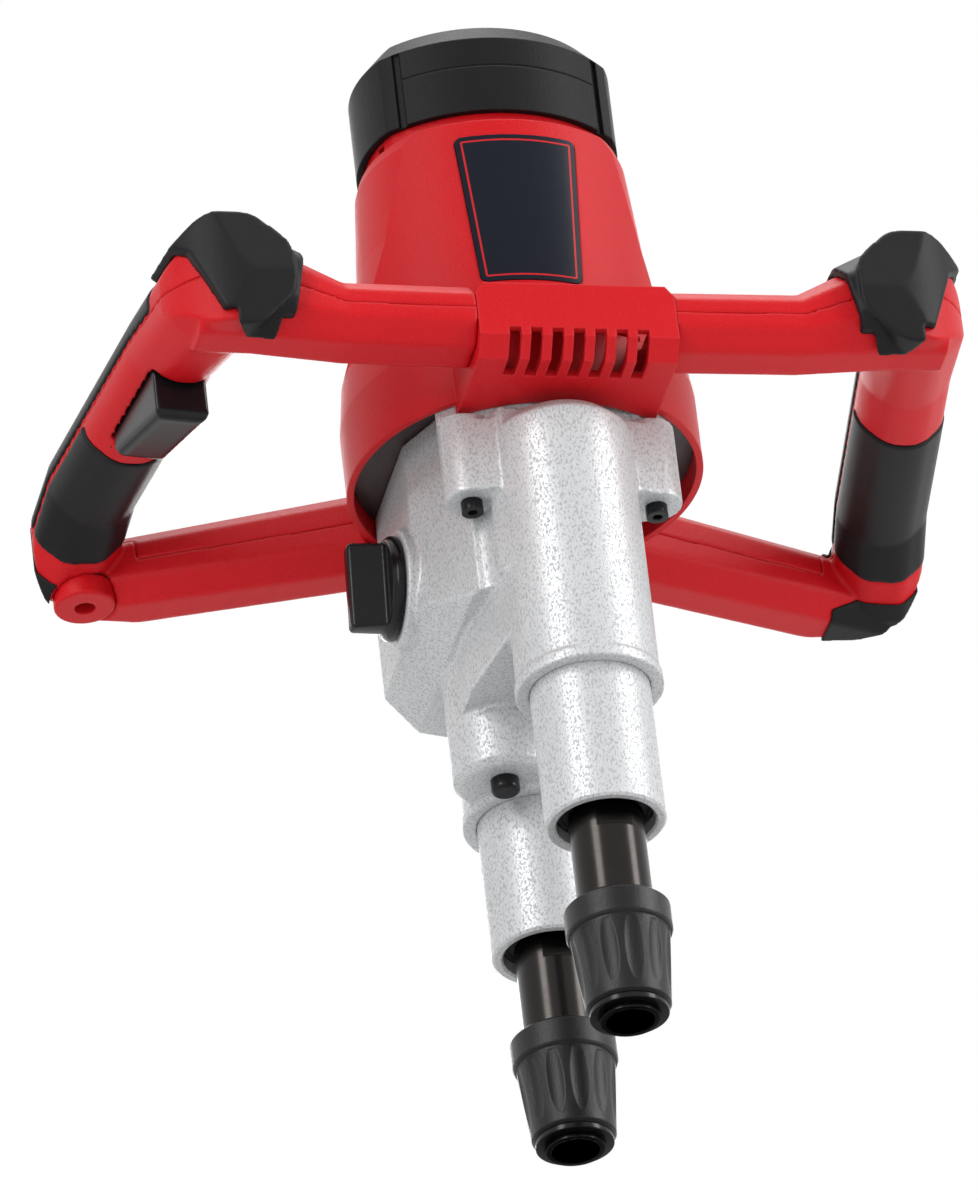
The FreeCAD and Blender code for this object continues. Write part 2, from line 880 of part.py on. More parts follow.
def gear_case():
    box = prism(case_outline(0), case_box_low, case_top)
    box = box.cut(case_bevel(0))
    core = prism(core_outline(0), case_core_low, plate_low)
    front_tube = rod(tube_radius, tube_low, front_tube_top, front_axis)
    top_edges = [edge for edge in front_tube.Edges if edge.BoundBox.ZMin > front_tube_top - press_gap]
    front_tube = front_tube.makeChamfer(front_tube_edge, top_edges)
    rear_tube = rod(tube_radius, tube_low, case_top, rear_axis)
    boss = rod(boss_radius, boss_low, plate_low, drive_axis)
    boss_edges = [edge for edge in boss.Edges if edge.BoundBox.ZMax < boss_low + press_gap]
    boss = boss.makeChamfer(boss_edge, boss_edges)
    solids = [box, core, front_tube, rear_tube, boss]
    for axis in (front_axis, rear_axis):
        solids.append(rod(tube_radius + tube_rim, tube_low, tube_low + tube_rim_height, axis))
    for at in front_screws:
        solids.append(rod(screw_boss_radius, screw_boss_low, case_top, at))
        web = prism(
            [
                (at[0], at[1] - screw_boss_radius),
                (0, -tube_radius / 2),
                (0, tube_radius),
                (at[0], at[1] + screw_boss_radius),
            ],
            screw_boss_low,
            front_tube_top,
        )
        solids.append(web)
    for at in rear_screws:
        solids.append(rod(screw_boss_radius, ear_low, case_top, at))
        ear_web = prism(
            [
                (at[0], at[1] - screw_boss_radius),
                (at[0], at[1] + screw_boss_radius),
                (0, at[1] + screw_boss_radius),
                (0, at[1] - screw_boss_radius),
            ],
            ear_low,
            case_top,
        )
        solids.append(ear_web)
    selector_boss = rod_along_x(
        selector_boss_radius,
        -case_left - selector_boss_length,
        -case_left + case_wall,
        selector_setback,
        selector_height,
    )
    solids.append(selector_boss)
    body = joined(solids)
    # Channels that let a driver reach the front screws
    for at in front_screws:
        body = body.cut(rod(driver_channel_radius, driver_channel_low, screw_boss_low, at))
    # The top stays inside the housing's skirt
    far = case_top_radius * 2
    body = body.cut(ring(far, case_top_radius, case_top_low, case_top + cut_over, motor_axis))
    rear_half = block(-far, far, motor_setback, motor_setback + far, rear_top_low, case_top + cut_over)
    rear_ring = ring(far, case_top_radius, rear_top_low, case_top + cut_over, motor_axis)
    body = body.cut(rear_ring.common(rear_half))
    # Hollow above the middle plate, and the narrower one that leaves a ledge under it
    upper = prism(case_outline(case_wall), plate_low, case_top + cut_over)
    for axis in (front_axis, rear_axis):
        hollow_top = front_tube_top - case_wall - front_tube_edge
        upper = upper.fuse(rod(tube_radius - case_wall, plate_low, hollow_top, axis))
    upper = upper.fuse(rod(tube_radius - case_wall, plate_low, case_top + cut_over, rear_axis))
    upper = upper.cut(case_bevel(case_wall))
    top_hollow_radius = case_top_radius - case_wall
    top_ring = ring(far, top_hollow_radius, case_top_hollow_low, case_top + cut_over * 2, motor_axis)
    upper = upper.cut(top_ring)
    core_floor = case_core_low + case_wall
    lower = prism(core_outline(case_wall + case_ledge), core_floor, plate_low + cut_over)
    for axis in (front_axis, rear_axis):
        gear_room = tip_radius(spindle_gear_teeth, output_module) + clear_gap
        lower = lower.fuse(rod(gear_room, core_floor, plate_low + cut_over, axis))
    idler_room_radius = tip_radius(idler_teeth, output_module) + clear_gap
    lower = lower.fuse(rod(idler_room_radius, core_floor, plate_low + cut_over, idler_axis))
    body = body.cut(upper).cut(lower)
    # Tube bores for the sleeves, drive shaft bearing seat and grease plug hole
    for axis in (front_axis, rear_axis):
        body = body.cut(rod(sleeve_radius + press_gap, tube_low - cut_over, sleeve_top + press_gap, axis))
        body = body.cut(rod(sleeve_inner_radius, sleeve_top - cut_over, core_floor + cut_over, axis))
    seat_top = drive_low_bearing_low + drive_bearing_thick
    body = body.cut(rod(drive_low_bearing_radius, drive_low_bearing_low, core_floor + cut_over, drive_axis))
    body = body.cut(rod(plug_radius + press_gap, boss_low - cut_over, seat_top, plug_axis))
    pin_hole_radius = idler_pin_radius + press_gap
    body = body.cut(rod(pin_hole_radius, case_core_low + case_ledge, core_floor + cut_over, idler_axis))
    rod_seat = plate_top - fork_rod_seat
    body = body.cut(rod(fork_rod_radius + press_gap, rod_seat, plate_top + cut_over, fork_rod_axis))
    # Selector bore and its seal seat
    body = body.cut(
        rod_along_x(
            selector_shaft_radius + running_gap,
            -case_left - selector_boss_length - cut_over,
            -case_left + case_wall + cut_over,
            selector_setback,
            selector_height,
        )
    )
    body = body.cut(
        rod_along_x(
            selector_seal_radius,
            -case_left - selector_boss_length - cut_over,
            -case_left - selector_boss_length + selector_seal_thick,
            selector_setback,
            selector_height,
        )
    )
    for at in front_screws + rear_screws:
        body = body.cut(rod(screw_radius + press_gap, case_box_low, case_top + cut_over, at))
    return body.removeSplitter()


save("gear_case", gear_case())

plug_low = boss_low - plug_head_height
plug_head = rod(plug_head_radius, plug_low, boss_low, plug_axis)
plug_rim = [edge for edge in plug_head.Edges if edge.BoundBox.ZMax < plug_low + press_gap]
plug_head = plug_head.makeFillet(plug_edge, plug_rim)
plug = plug_head.fuse(rod(plug_radius, boss_low - press_gap, boss_low + plug_depth, plug_axis))
save("grease_plug", plug.removeSplitter())

case_screws = []
screw_end = lid_top + screw_grip
for low, spots in ((screw_boss_low, front_screws), (ear_low, rear_screws)):
    for at in spots:
        case_screws.append(
            socket_screw(
                at, low, screw_end, screw_radius, screw_head_radius, screw_head_height, screw_hex_across
            )
        )
save("case_screws", Part.makeCompound(case_screws))

# Middle plate that carries the upper ends of the spindles and the lay shaft's foot
middle_plate = prism(case_outline(case_wall + seat_gap), plate_low, plate_top)
for axis in (front_axis, rear_axis):
    middle_plate = middle_plate.fuse(rod(tube_radius - case_wall - seat_gap, plate_low, plate_top, axis))
for axis in (front_axis, rear_axis):
    bearing_seat = rod(top_bearing_radius, plate_low - cut_over, plate_top + cut_over, axis)
    middle_plate = middle_plate.cut(bearing_seat)
lay_seat_low = plate_top - lay_bearing_thick
middle_plate = middle_plate.cut(rod(lay_bearing_radius, lay_seat_low, plate_top + cut_over, lay_axis))
drive_room = drive_radius + clear_gap * 2
middle_plate = middle_plate.cut(rod(drive_room, plate_low - cut_over, plate_top + cut_over, drive_axis))
middle_plate = middle_plate.cut(
    rod(idler_pin_radius + press_gap, plate_low - cut_over, plate_top + cut_over, idler_axis)
)
middle_plate = middle_plate.cut(
    rod(fork_rod_radius + press_gap, plate_top - fork_rod_seat, plate_top + cut_over, fork_rod_axis)
)
middle_plate = middle_plate.cut(case_bevel(case_wall + seat_gap))
save("middle_plate", middle_plate.removeSplitter())

# Motor flange closing the gear case and carrying the rotor's lower bearing
flange_plate = rod(flange_plate_radius, case_top, lid_top, motor_axis)
flange_plate = flange_plate.fuse(rod(motor_seat_radius, lid_top, lid_top + motor_seat_height, motor_axis))
motor_bearing_low = case_top + motor_bearing_floor
motor_seat_top = lid_top + motor_seat_height + cut_over
flange_plate = flange_plate.cut(rod(motor_bearing_radius, motor_bearing_low, motor_seat_top, motor_axis))
pinion_room = tip_radius(pinion_teeth, input_module) + shaft_radius
pinion_hole = rod(pinion_room, case_top - cut_over, motor_bearing_low + cut_over, motor_axis)
flange_plate = flange_plate.cut(pinion_hole)
for axis in (lay_axis, drive_axis):
    lay_bearing_top = case_top + lay_bearing_thick
    flange_plate = flange_plate.cut(rod(lay_bearing_radius, case_top - cut_over, lay_bearing_top, axis))
for at in front_screws + rear_screws:
    screw_hole = rod(screw_radius + press_gap, case_top - cut_over, lid_top + cut_over, at)
    flange_plate = flange_plate.cut(screw_hole)
save("motor_flange", flange_plate.removeSplitter())

# Lay shaft: input wheel above, the two speed pinions below
lay_low = plate_top - lay_bearing_thick
lay_high = case_top + lay_bearing_thick
lay_shaft = rod(lay_shaft_radius, plate_top + clear_gap, case_top - clear_gap, lay_axis)
lay_shaft = lay_shaft.fuse(rod(lay_bearing_bore - press_gap, lay_low, lay_high, lay_axis))
lay_shaft = lay_shaft.fuse(
    gear(low_pinion_teeth, speed_module, low_gear_low, low_gear_top, lay_axis, lay_phase)
)
lay_shaft = lay_shaft.fuse(
    gear(high_pinion_teeth, speed_module, high_gear_low, high_gear_top, lay_axis, lay_phase)
)
save("lay_shaft", lay_shaft.removeSplitter())
input_wheel_top = input_wheel_low + input_wheel_thick
input_wheel = gear(
    input_wheel_teeth, input_module, input_wheel_low, input_wheel_top, lay_axis, input_wheel_phase
)
input_bore = rod(
    lay_shaft_radius + press_gap, input_wheel_low - cut_over, input_wheel_top + cut_over, lay_axis
)
input_wheel = input_wheel.cut(input_bore)
save("input_wheel", input_wheel)
small_race = lay_bearing_radius - press_gap
small_bore = lay_bearing_bore + running_gap
shaft_bearings = [
    bearing(small_race, small_bore, lay_low, lay_bearing_thick, lay_axis),
    bearing(small_race, small_bore, case_top, lay_bearing_thick, lay_axis),
]

# Drive shaft with its output pinion, the two speed gears and the dog sleeve
drive_top = case_top + lay_bearing_thick
drive_shaft = rod(drive_radius, output_gear_low - clear_gap * 2, case_top - clear_gap, drive_axis)
drive_foot = rod(drive_bearing_bore - press_gap, drive_low_bearing_low, output_gear_low, drive_axis)
drive_shaft = drive_shaft.fuse(drive_foot)
drive_head = rod(lay_bearing_bore - press_gap, case_top - cut_over, drive_top, drive_axis)
drive_shaft = drive_shaft.fuse(drive_head)
output_gear_top = output_gear_low + output_gear_thick
drive_shaft = drive_shaft.fuse(
    gear(output_pinion_teeth, output_module, output_gear_low, output_gear_top, drive_axis, output_phase)
)
save("drive_shaft", drive_shaft.removeSplitter())
foot_race = drive_low_bearing_radius - press_gap
foot_bore = drive_bearing_bore + running_gap
shaft_bearings.append(bearing(foot_race, foot_bore, drive_low_bearing_low, drive_bearing_thick, drive_axis))
shaft_bearings.append(bearing(small_race, small_bore, case_top, lay_bearing_thick, drive_axis))
save("shaft_bearings", Part.makeCompound(shaft_bearings))
claw_pitch = 360 / dog_count
low_gear = gear(low_gear_teeth, speed_module, low_gear_low, low_gear_top, drive_axis, low_phase)
low_gear = low_gear.multiFuse(dogs(low_gear_low - dog_height, claw_pitch / 2, drive_axis))
low_bore = rod(drive_radius + press_gap, low_gear_low - dog_height, low_gear_top + cut_over, drive_axis)
low_gear = low_gear.cut(low_bore)
save("low_gear", low_gear)
high_gear = gear(high_gear_teeth, speed_module, high_gear_low, high_gear_top, drive_axis, high_phase)
high_gear = high_gear.multiFuse(dogs(high_gear_top, 0, drive_axis))
high_bore = rod(
    drive_radius + running_gap, high_gear_low - cut_over, high_gear_top + dog_height, drive_axis
)
high_gear = high_gear.cut(high_bore)
save("high_gear", high_gear)
dog_sleeve = rod(sleeve_body_radius, sleeve_body_low, sleeve_body_top, drive_axis)
groove_half = fork_thick / 2 + fork_side_gap
dog_sleeve = dog_sleeve.cut(
    ring(
        sleeve_body_radius + cut_over,
        sleeve_groove_radius,
        groove_middle - groove_half,
        groove_middle + groove_half,
        drive_axis,
    )
)
dog_sleeve = dog_sleeve.multiFuse(dogs(sleeve_body_top, 0, drive_axis))
dog_sleeve = dog_sleeve.multiFuse(dogs(sleeve_dog_low, claw_pitch / 2, drive_axis))
dog_sleeve = dog_sleeve.cut(
    rod(
        drive_radius + running_gap,
        sleeve_dog_low - cut_over,
        sleeve_body_top + dog_height + cut_over,
        drive_axis,
    )
)
save("dog_sleeve", dog_sleeve.removeSplitter())

# Idler and spindle gears
idler_pin = rod(idler_pin_radius, case_core_low + case_ledge, plate_top, idler_axis)
save("idler_pin", idler_pin)
idler = gear(idler_teeth, output_module, output_gear_low, output_gear_top, idler_axis, idler_phase)
idler_bore = rod(
    idler_pin_radius + running_gap, output_gear_low - cut_over, output_gear_top + cut_over, idler_axis
)
idler = idler.cut(idler_bore)
save("idler_gear", idler)
for side_name, axis, phase in (("front", front_axis, front_phase), ("rear", rear_axis, rear_phase)):
    wheel = gear(spindle_gear_teeth, output_module, output_gear_low, output_gear_top, axis, phase)
    wheel_bore = rod(spindle_bearing_bore, output_gear_low - cut_over, output_gear_top + cut_over, axis)
    wheel = wheel.cut(wheel_bore)
    save(side_name + "_spindle_gear", wheel)

# Shift fork on its rod, moved by the selector's pin
fork_low = groove_middle - fork_thick / 2
fork_high = groove_middle + fork_thick / 2
half_turn = math.radians(selector_turn / 2)
pin_back = selector_setback + selector_throw * math.cos(half_turn)
pin_height = selector_height + selector_throw * math.sin(half_turn)
tab_left = -case_left + case_wall + clear_gap * 2
tab_right = tab_left + fork_tab_thick
fork_front = drive_axis[1] - fork_width / 2
fork_rear = fork_rod_axis[1] + fork_hub_radius
fork = block(tab_left, drive_axis[0], fork_front, drive_axis[1] + fork_width / 2, fork_low, fork_high)
fork = fork.fuse(rod(fork_hub_radius, fork_low, fork_low + fork_hub_height, fork_rod_axis))
tab_low = selector_height - selector_throw
tab_front = selector_setback - selector_throw * 2
tab_rear = selector_setback + selector_throw * 3
fork = fork.fuse(block(tab_left, tab_right, tab_front, fork_rear, fork_low, fork_high))
fork = fork.fuse(block(tab_left, tab_right, tab_front, tab_rear, tab_low, fork_high))
fork_gap = rod(sleeve_groove_radius + clear_gap, fork_low - cut_over, fork_high + cut_over, drive_axis)
fork = fork.cut(fork_gap)
fork = fork.cut(
    rod(
        fork_rod_radius + running_gap,
        fork_low - cut_over,
        fork_low + fork_hub_height + cut_over,
        fork_rod_axis,
    )
)
slot_half = selector_pin_radius + selector_slot_gap
fork = fork.cut(
    block(
        tab_left - cut_over,
        tab_right + cut_over,
        selector_setback - selector_pin_radius,
        selector_setback + selector_throw + selector_pin_radius * 2,
        pin_height - slot_half,
        pin_height + slot_half,
    )
)
save("shift_fork", fork.removeSplitter())
save("fork_rod", rod(fork_rod_radius, plate_top - fork_rod_seat, fork_rod_top, fork_rod_axis))

# Selector knob with its eccentric pin
knob_face = -case_left - selector_boss_length - clear_gap
disc_face = knob_face - selector_disc_thick
shaft_end = -case_left + case_wall + clear_gap
knob = rod_along_x(selector_disc_radius, disc_face, knob_face, selector_setback, selector_height)
disc_edges = [edge for edge in knob.Edges if edge.BoundBox.XMax < disc_face + press_gap]
knob = knob.makeChamfer(sleeve_edge * 2, disc_edges)
knob_shaft = rod_along_x(
    selector_shaft_radius, knob_face - press_gap, shaft_end, selector_setback, selector_height
)
knob = knob.fuse(knob_shaft)
pin_end = shaft_end + selector_pin_length
knob = knob.fuse(rod_along_x(selector_pin_radius, shaft_end - press_gap, pin_end, pin_back, pin_height))
foot = selector_wing_foot / 2
tip = selector_wing_tip / 2
wing_out = disc_face - selector_wing_height
wing = polygon_face(
    [
        vec(disc_face, selector_setback - foot, selector_height - selector_wing_length / 2),
        vec(disc_face, selector_setback + foot, selector_height - selector_wing_length / 2),
        vec(wing_out, selector_setback + tip, selector_height - selector_wing_length / 2),
        vec(wing_out, selector_setback - tip, selector_height - selector_wing_length / 2),
    ]
).extrude(vec(0, 0, selector_wing_length))
wing = wing.common(
    rod_along_x(selector_wing_length / 2, wing_out - cut_over, disc_face, selector_setback, selector_height)
)
wing_edges = [edge for edge in wing.Edges if edge.BoundBox.XMax < wing_out + press_gap]
wing = wing.makeFillet(tip / 2, wing_edges)
wing.rotate(vec(0, selector_setback, selector_height), vec(1, 0, 0), selector_wing_lean)
knob = knob.fuse(wing)
save("selector_knob", knob.removeSplitter())
seal = rod_along_x(
    selector_seal_radius - press_gap,
    -case_left - selector_boss_length,
    -case_left - selector_boss_length + selector_seal_thick,
    selector_setback,
    selector_height,
).cut(
    rod_along_x(
        selector_shaft_radius + running_gap,
        -case_left - selector_boss_length - cut_over,
        -case_left + cut_over,
        selector_setback,
        selector_height,
    )
)
save("selector_seal", seal)

# Motor housing
def housing_profile(inset):
    return [
        (skirt_radius - inset, skirt_low),
        (skirt_radius - inset, skirt_high),
        (flare_radius - inset, flare_height),
        (waist_radius - inset, waist_height),
        (body_radius - inset, body_height),
        (shoulder_radius - inset, shoulder_height),
        (shoulder_edge_radius - inset, shoulder_top),
    ]


# The front of the cap and of the housing bends to a wider arc than the rest
arc_centre = (motor_axis[0], motor_axis[1] - cap_front_reach + cap_front_radius)
front_arc_radius = cap_front_radius - cap_front_reach + front_reach


def cap_plan(inset, low, high):
    round_part = rod(cap_radius - inset, low, high, motor_axis)
    return round_part.common(rod(cap_front_radius - inset, low, high, arc_centre))


def before_arc(inset):
    # What the housing's wide front arc takes off the turned body
    reach = skirt_radius * 2
    front_part = block(-reach, reach, -reach, arc_centre[1], flare_height, shoulder_top + cut_over)
    return front_part.cut(rod(front_arc_radius - inset, flare_height, shoulder_top + cut_over, arc_centre))


def outlet_profile(inset):
    front = -outlet_front + inset
    return [
        (front + outlet_chin, outlet_low + inset),
        (front, outlet_low + outlet_chin),
        (front, outlet_brow_low),
        (front + outlet_brow_back, outlet_top - inset),
        (motor_setback - front_reach, outlet_rise_top - inset * 2),
        (motor_setback - waist_radius / 2, outlet_rise_top - inset * 2),
        (motor_setback - waist_radius / 2, outlet_low + inset),
    ]


def motor_housing():
    outer = turned([(0, skirt_low)] + housing_profile(0) + [(0, shoulder_top)], motor_axis)
    reach = skirt_radius * 2
    outer = outer.cut(before_arc(0))
    outer = outer.fuse(cap_plan(neck_inset, shoulder_top - cut_over, neck_top))
    outlet = slab_along_x(outlet_profile(0), -outlet_half_width, outlet_half_width)
    brow = slab_along_y(
        [
            (-outlet_half_width - cut_over, outlet_brow_low - outlet_chin),
            (-outlet_shoulder_width, outlet_top),
            (outlet_shoulder_width, outlet_top),
            (outlet_half_width + cut_over, outlet_brow_low - outlet_chin),
            (outlet_half_width + cut_over, outlet_low - cut_over),
            (-outlet_half_width - cut_over, outlet_low - cut_over),
        ],
        -outlet_front - cut_over,
        motor_setback,
    )
    rise = slab_along_y(
        [
            (-outlet_shoulder_width, outlet_top - cut_over),
            (outlet_shoulder_width, outlet_top - cut_over),
            (label_low_half, outlet_rise_top),
            (-label_low_half, outlet_rise_top),
        ],
        -outlet_front - cut_over,
        motor_setback,
    )
    outlet = outlet.common(brow.fuse(rise))
    body = outer.fuse(outlet)
    # Hollow: skirt room for the flange, a ledge above it, then the motor room
    ledge_top = lid_top + housing_ledge_thick
    room_top = shoulder_top - housing_wall
    inner = [(r, min(z, room_top)) for r, z in housing_profile(housing_wall) if z > ledge_top]
    ledge_radius = housing_ledge_radius
    room = turned(
        [(0, outlet_low - cut_over), (skirt_radius - housing_wall, outlet_low - cut_over)]
        + [(skirt_radius - housing_wall, lid_top), (ledge_radius, lid_top), (ledge_radius, ledge_top)]
        + [(skirt_radius - housing_wall, ledge_top)]
        + inner
        + [(0, room_top)],
        motor_axis,
    )
    room = room.cut(before_arc(housing_wall))
    neck_room = cap_plan(neck_inset + housing_wall, room_top - cut_over, neck_top + cut_over)
    body = body.cut(room).cut(neck_room)
    # Ribs that hold the stator, and the ledge under the brush bridge
    ribs = block(-reach, reach, motor_setback - stator_rib_width / 2, motor_setback + stator_rib_width / 2,
                 stator_low, stator_low + stator_length)
    half_rib = stator_rib_width / 2
    stator_top = stator_low + stator_length
    rear_rib = block(-half_rib, half_rib, motor_setback, motor_setback + reach, stator_low, stator_top)
    ribs = ribs.fuse(rear_rib)
    stator_room = rod(stator_radius + press_gap, stator_low - cut_over, stator_top + cut_over, motor_axis)
    ribs = ribs.cut(stator_room)
    stop = turned([(0, stator_low - cut_over)] + [(r, z) for r, z in housing_profile(housing_wall / 2)
                  if z > stator_low] + [(0, shoulder_top)], motor_axis)
    stop_low = rod(waist_radius, stator_low, waist_height, motor_axis)
    body = body.fuse(ribs.common(stop.fuse(stop_low)))
    ledge = rod(shoulder_radius - housing_wall / 2, bridge_low - bridge_ledge_thick, bridge_low, motor_axis)
    ledge_plan = cap_plan(neck_inset + housing_wall / 2, bridge_low - bridge_ledge_thick, bridge_low)
    ledge = ledge.common(ledge_plan)
    ledge = ledge.cut(rod(bridge_ledge_radius, bridge_low - bridge_ledge_thick, bridge_low, motor_axis))
    half_arm = bridge_arm_width / 2
    ledge_low = bridge_low - bridge_ledge_thick
    arm_band = block(
        -reach, reach, motor_setback - half_arm, motor_setback + half_arm, ledge_low, bridge_low
    )
    ledge = ledge.common(arm_band)
    body = body.fuse(ledge)
    # Air inlet slots in the neck
    slot = block(
        bridge_ledge_radius - bridge_ledge_thick,
        reach,
        -neck_slot_width / 2,
        neck_slot_width / 2,
        neck_slot_low,
        neck_slot_high,
    )
    slot.translate(vec(motor_axis[0], motor_axis[1], 0))
    slots = around(slot, motor_axis, neck_slot_count)
    slots = [turn for turn in slots if turn.BoundBox.Center.y > motor_setback - bridge_ledge_radius]
    body = body.cut(Part.makeCompound(slots))
    # Outlet duct and its slots
    duct_half = outlet_half_width - outlet_wall
    duct = slab_along_x(outlet_profile(outlet_wall), -duct_half, duct_half)
    duct = duct.cut(rod(skirt_radius, outlet_low - cut_over, lid_top + housing_ledge_thick, motor_axis))
    duct = duct.common(block(-reach, reach, -outlet_front, motor_setback, outlet_low, outlet_window_low))
    window = block(
        -outlet_window_half,
        outlet_window_half,
        motor_setback - skirt_radius - outlet_wall,
        motor_setback - waist_radius + housing_wall * 2,
        ledge_top,
        outlet_window_top,
    )
    window = window.common(slab_along_x(outlet_profile(outlet_wall), -reach, reach))
    body = body.cut(duct).cut(window)
    half_count = (outlet_slot_count - 1) / 2
    for index in range(outlet_slot_count):
        at_x = (index - half_count) * outlet_slot_pitch
        front_slot = block(
            at_x - outlet_slot_width / 2,
            at_x + outlet_slot_width / 2,
            -outlet_front - cut_over,
            -outlet_slot_back,
            outlet_low - cut_over,
            outlet_slot_top,
        )
        body = body.cut(front_slot)
    # Seat of the label plate
    body = body.cut(label_solid(seat_gap, 0))
    for at in front_screws + rear_screws:
        body = body.cut(rod(screw_radius + press_gap, lid_top - cut_over, screw_end, at))
    return body.removeSplitter()


def label_solid(grow, lift):
    # A thin sheet bent round the front arc, inside a keystone outline
    points = [
        (-label_top_half - grow, label_high + grow),
        (label_top_half + grow, label_high + grow),
        (label_low_half + grow, label_low - grow),
        (-label_low_half - grow, label_low - grow),
    ]
    outline = slab_along_y(points, -front_reach, motor_setback - front_reach / 2)
    along = [edge for edge in outline.Edges if edge.BoundBox.YLength > front_reach / 2]
    outline = outline.makeFillet(label_corner + grow, along)
    inner = front_arc_radius - label_sink + lift
    sheet = ring(inner + label_thick, inner, label_low - label_thick, label_high + label_thick, arc_centre)
    return outline.common(sheet)


save("motor_housing", motor_housing())
save("label_plate", label_solid(0, press_gap))


# Motor cap: flattened round plan under a turned crown
def cap_shape(inset, low):
    # Straight wall, bevelled shoulder, then a shallow cone, about the round's and the arc's axes
    crowns = []
    for radius, axis in ((cap_radius, motor_axis), (cap_front_radius, arc_centre)):
        profile = [
            (0, low),
            (radius - inset, low),
            (radius - inset, cap_wall_top - inset / 2),
            (radius - inset - cap_shoulder_run, cap_shoulder_top - inset),
            (0, cap_top - inset),
        ]
        crowns.append(turned(profile, axis))
    return crowns[0].common(crowns[1])


def motor_cap():
    body = cap_shape(0, cap_low)
    body = body.cut(cap_shape(cap_wall, cap_low - cut_over))
    front = motor_setback - cap_radius * 2
    for side in (-1, 1):
        groove = block(
            side * cap_groove_side - cap_groove_width / 2,
            side * cap_groove_side + cap_groove_width / 2,
            front,
            motor_setback,
            cap_low - cut_over,
            cap_wall_top,
        )
        groove = groove.cut(cap_plan(cap_groove_depth, cap_low - cut_over * 2, cap_wall_top + cut_over))
        body = body.cut(groove)
    seam = block(
        -cap_groove_side,
        cap_groove_side,
        front,
        motor_setback,
        cap_seam_height,
        cap_seam_height + cap_seam_width,
    )
    seam = seam.cut(cap_plan(cap_seam_depth, cap_low, cap_top))
    body = body.cut(seam)
    for spot in cap_screw_spots:
        post = rod(cap_post_radius, bridge_low + bridge_thick, cap_top, spot).common(cap_shape(0, cap_low))
        body = body.fuse(post)
    for spot in cap_screw_spots:
        body = body.cut(rod(cap_screw_radius + press_gap, bridge_low, cap_wall_top, spot))
    return body.removeSplitter()


cap_screw_spots = []
for side in (-1, 1):
    cap_screw_spots.append((side * cap_screw_side, motor_setback + side * cap_screw_back))
save("motor_cap", motor_cap())


# Motor inside the housing
def rotor_height(extra):
    return stator_low + stator_length + extra


stator = ring(stator_radius, stator_bore_radius, stator_low, rotor_height(0), motor_axis)
coil_room_half = math.radians(coil_degrees / 2 - coil_slot_degrees)
room_reach = stator_radius * 2
room_across = room_reach * math.cos(coil_room_half)
room_along = room_reach * math.sin(coil_room_half)
for side in (-1, 1):
    room_points = [
        motor_axis,
        (room_across, motor_setback + side * room_along),
        (-room_across, motor_setback + side * room_along),
    ]
    slot_ring = ring(
        coil_outer_radius + seat_gap,
        coil_inner_radius - seat_gap,
        stator_low - cut_over,
        rotor_height(cut_over),
        motor_axis,
    )
    stator = stator.cut(slot_ring.common(prism(room_points, stator_low - cut_over, rotor_height(cut_over))))
save("stator_core", stator)

coils = []
coil_half = math.radians(coil_degrees / 2)
coil_across = room_reach * math.cos(coil_half)
coil_along = room_reach * math.sin(coil_half)
for side in (-1, 1):
    coil_points = [
        motor_axis,
        (coil_across, motor_setback + side * coil_along),
        (-coil_across, motor_setback + side * coil_along),
    ]
    coil_low = stator_low - coil_overhang
    coil_high = rotor_height(coil_overhang)
    coil = ring(coil_outer_radius, coil_inner_radius, coil_low, coil_high, motor_axis)
    coils.append(coil.common(prism(coil_points, coil_low, coil_high)))
save("field_coils", Part.makeCompound(coils))

commutator_low = rotor_height(winding_overhang + commutator_gap)
commutator_high = commutator_low + commutator_length
upper_bearing_low = bridge_low + bridge_thick
upper_bearing_top = upper_bearing_low + upper_bearing_thick
pinion_low = case_top - clear_gap * 2 - pinion_thick
motor_bearing_high = motor_bearing_low + motor_bearing_thick
rotor_shaft = rod(shaft_radius, motor_bearing_high, commutator_high + clear_gap, motor_axis)
rotor_shaft = rotor_shaft.fuse(
    rod(motor_bearing_bore - press_gap, motor_bearing_low - clear_gap, rotor_height(0), motor_axis)
)
shaft_tip = rod(shaft_top_radius - press_gap, commutator_high, upper_bearing_top, motor_axis)
rotor_shaft = rotor_shaft.fuse(shaft_tip)
rotor_shaft = rotor_shaft.fuse(
    gear(pinion_teeth, input_module, pinion_low, motor_bearing_low, motor_axis, pinion_phase)
)
save("rotor_shaft", rotor_shaft.removeSplitter())

rotor_core = ring(rotor_radius, shaft_radius + press_gap, stator_low, rotor_height(0), motor_axis)
rotor_slot = block(
    rotor_radius - rotor_slot_depth,
    rotor_radius + cut_over,
    -rotor_slot_width / 2,
    rotor_slot_width / 2,
    stator_low - cut_over,
    rotor_height(cut_over),
)
rotor_slot.translate(vec(motor_axis[0], motor_axis[1], 0))
rotor_core = rotor_core.cut(Part.makeCompound(around(rotor_slot, motor_axis, rotor_slot_count)))
save("rotor_core", rotor_core)
windings = [
    ring(winding_radius, shaft_radius + press_gap, stator_low - winding_overhang, stator_low, motor_axis),
    ring(
        winding_radius, shaft_radius + press_gap, rotor_height(0), rotor_height(winding_overhang), motor_axis
    ),
]
save("rotor_windings", Part.makeCompound(windings))
commutator = ring(commutator_radius, shaft_radius + press_gap, commutator_low, commutator_high, motor_axis)
slit = block(
    commutator_radius - commutator_slit_depth,
    commutator_radius + cut_over,
    -commutator_bar_slit / 2,
    commutator_bar_slit / 2,
    commutator_low - cut_over,
    commutator_high + cut_over,
)
slit.translate(vec(motor_axis[0], motor_axis[1], 0))
commutator = commutator.cut(Part.makeCompound(around(slit, motor_axis, commutator_bar_count)))
save("commutator", commutator)

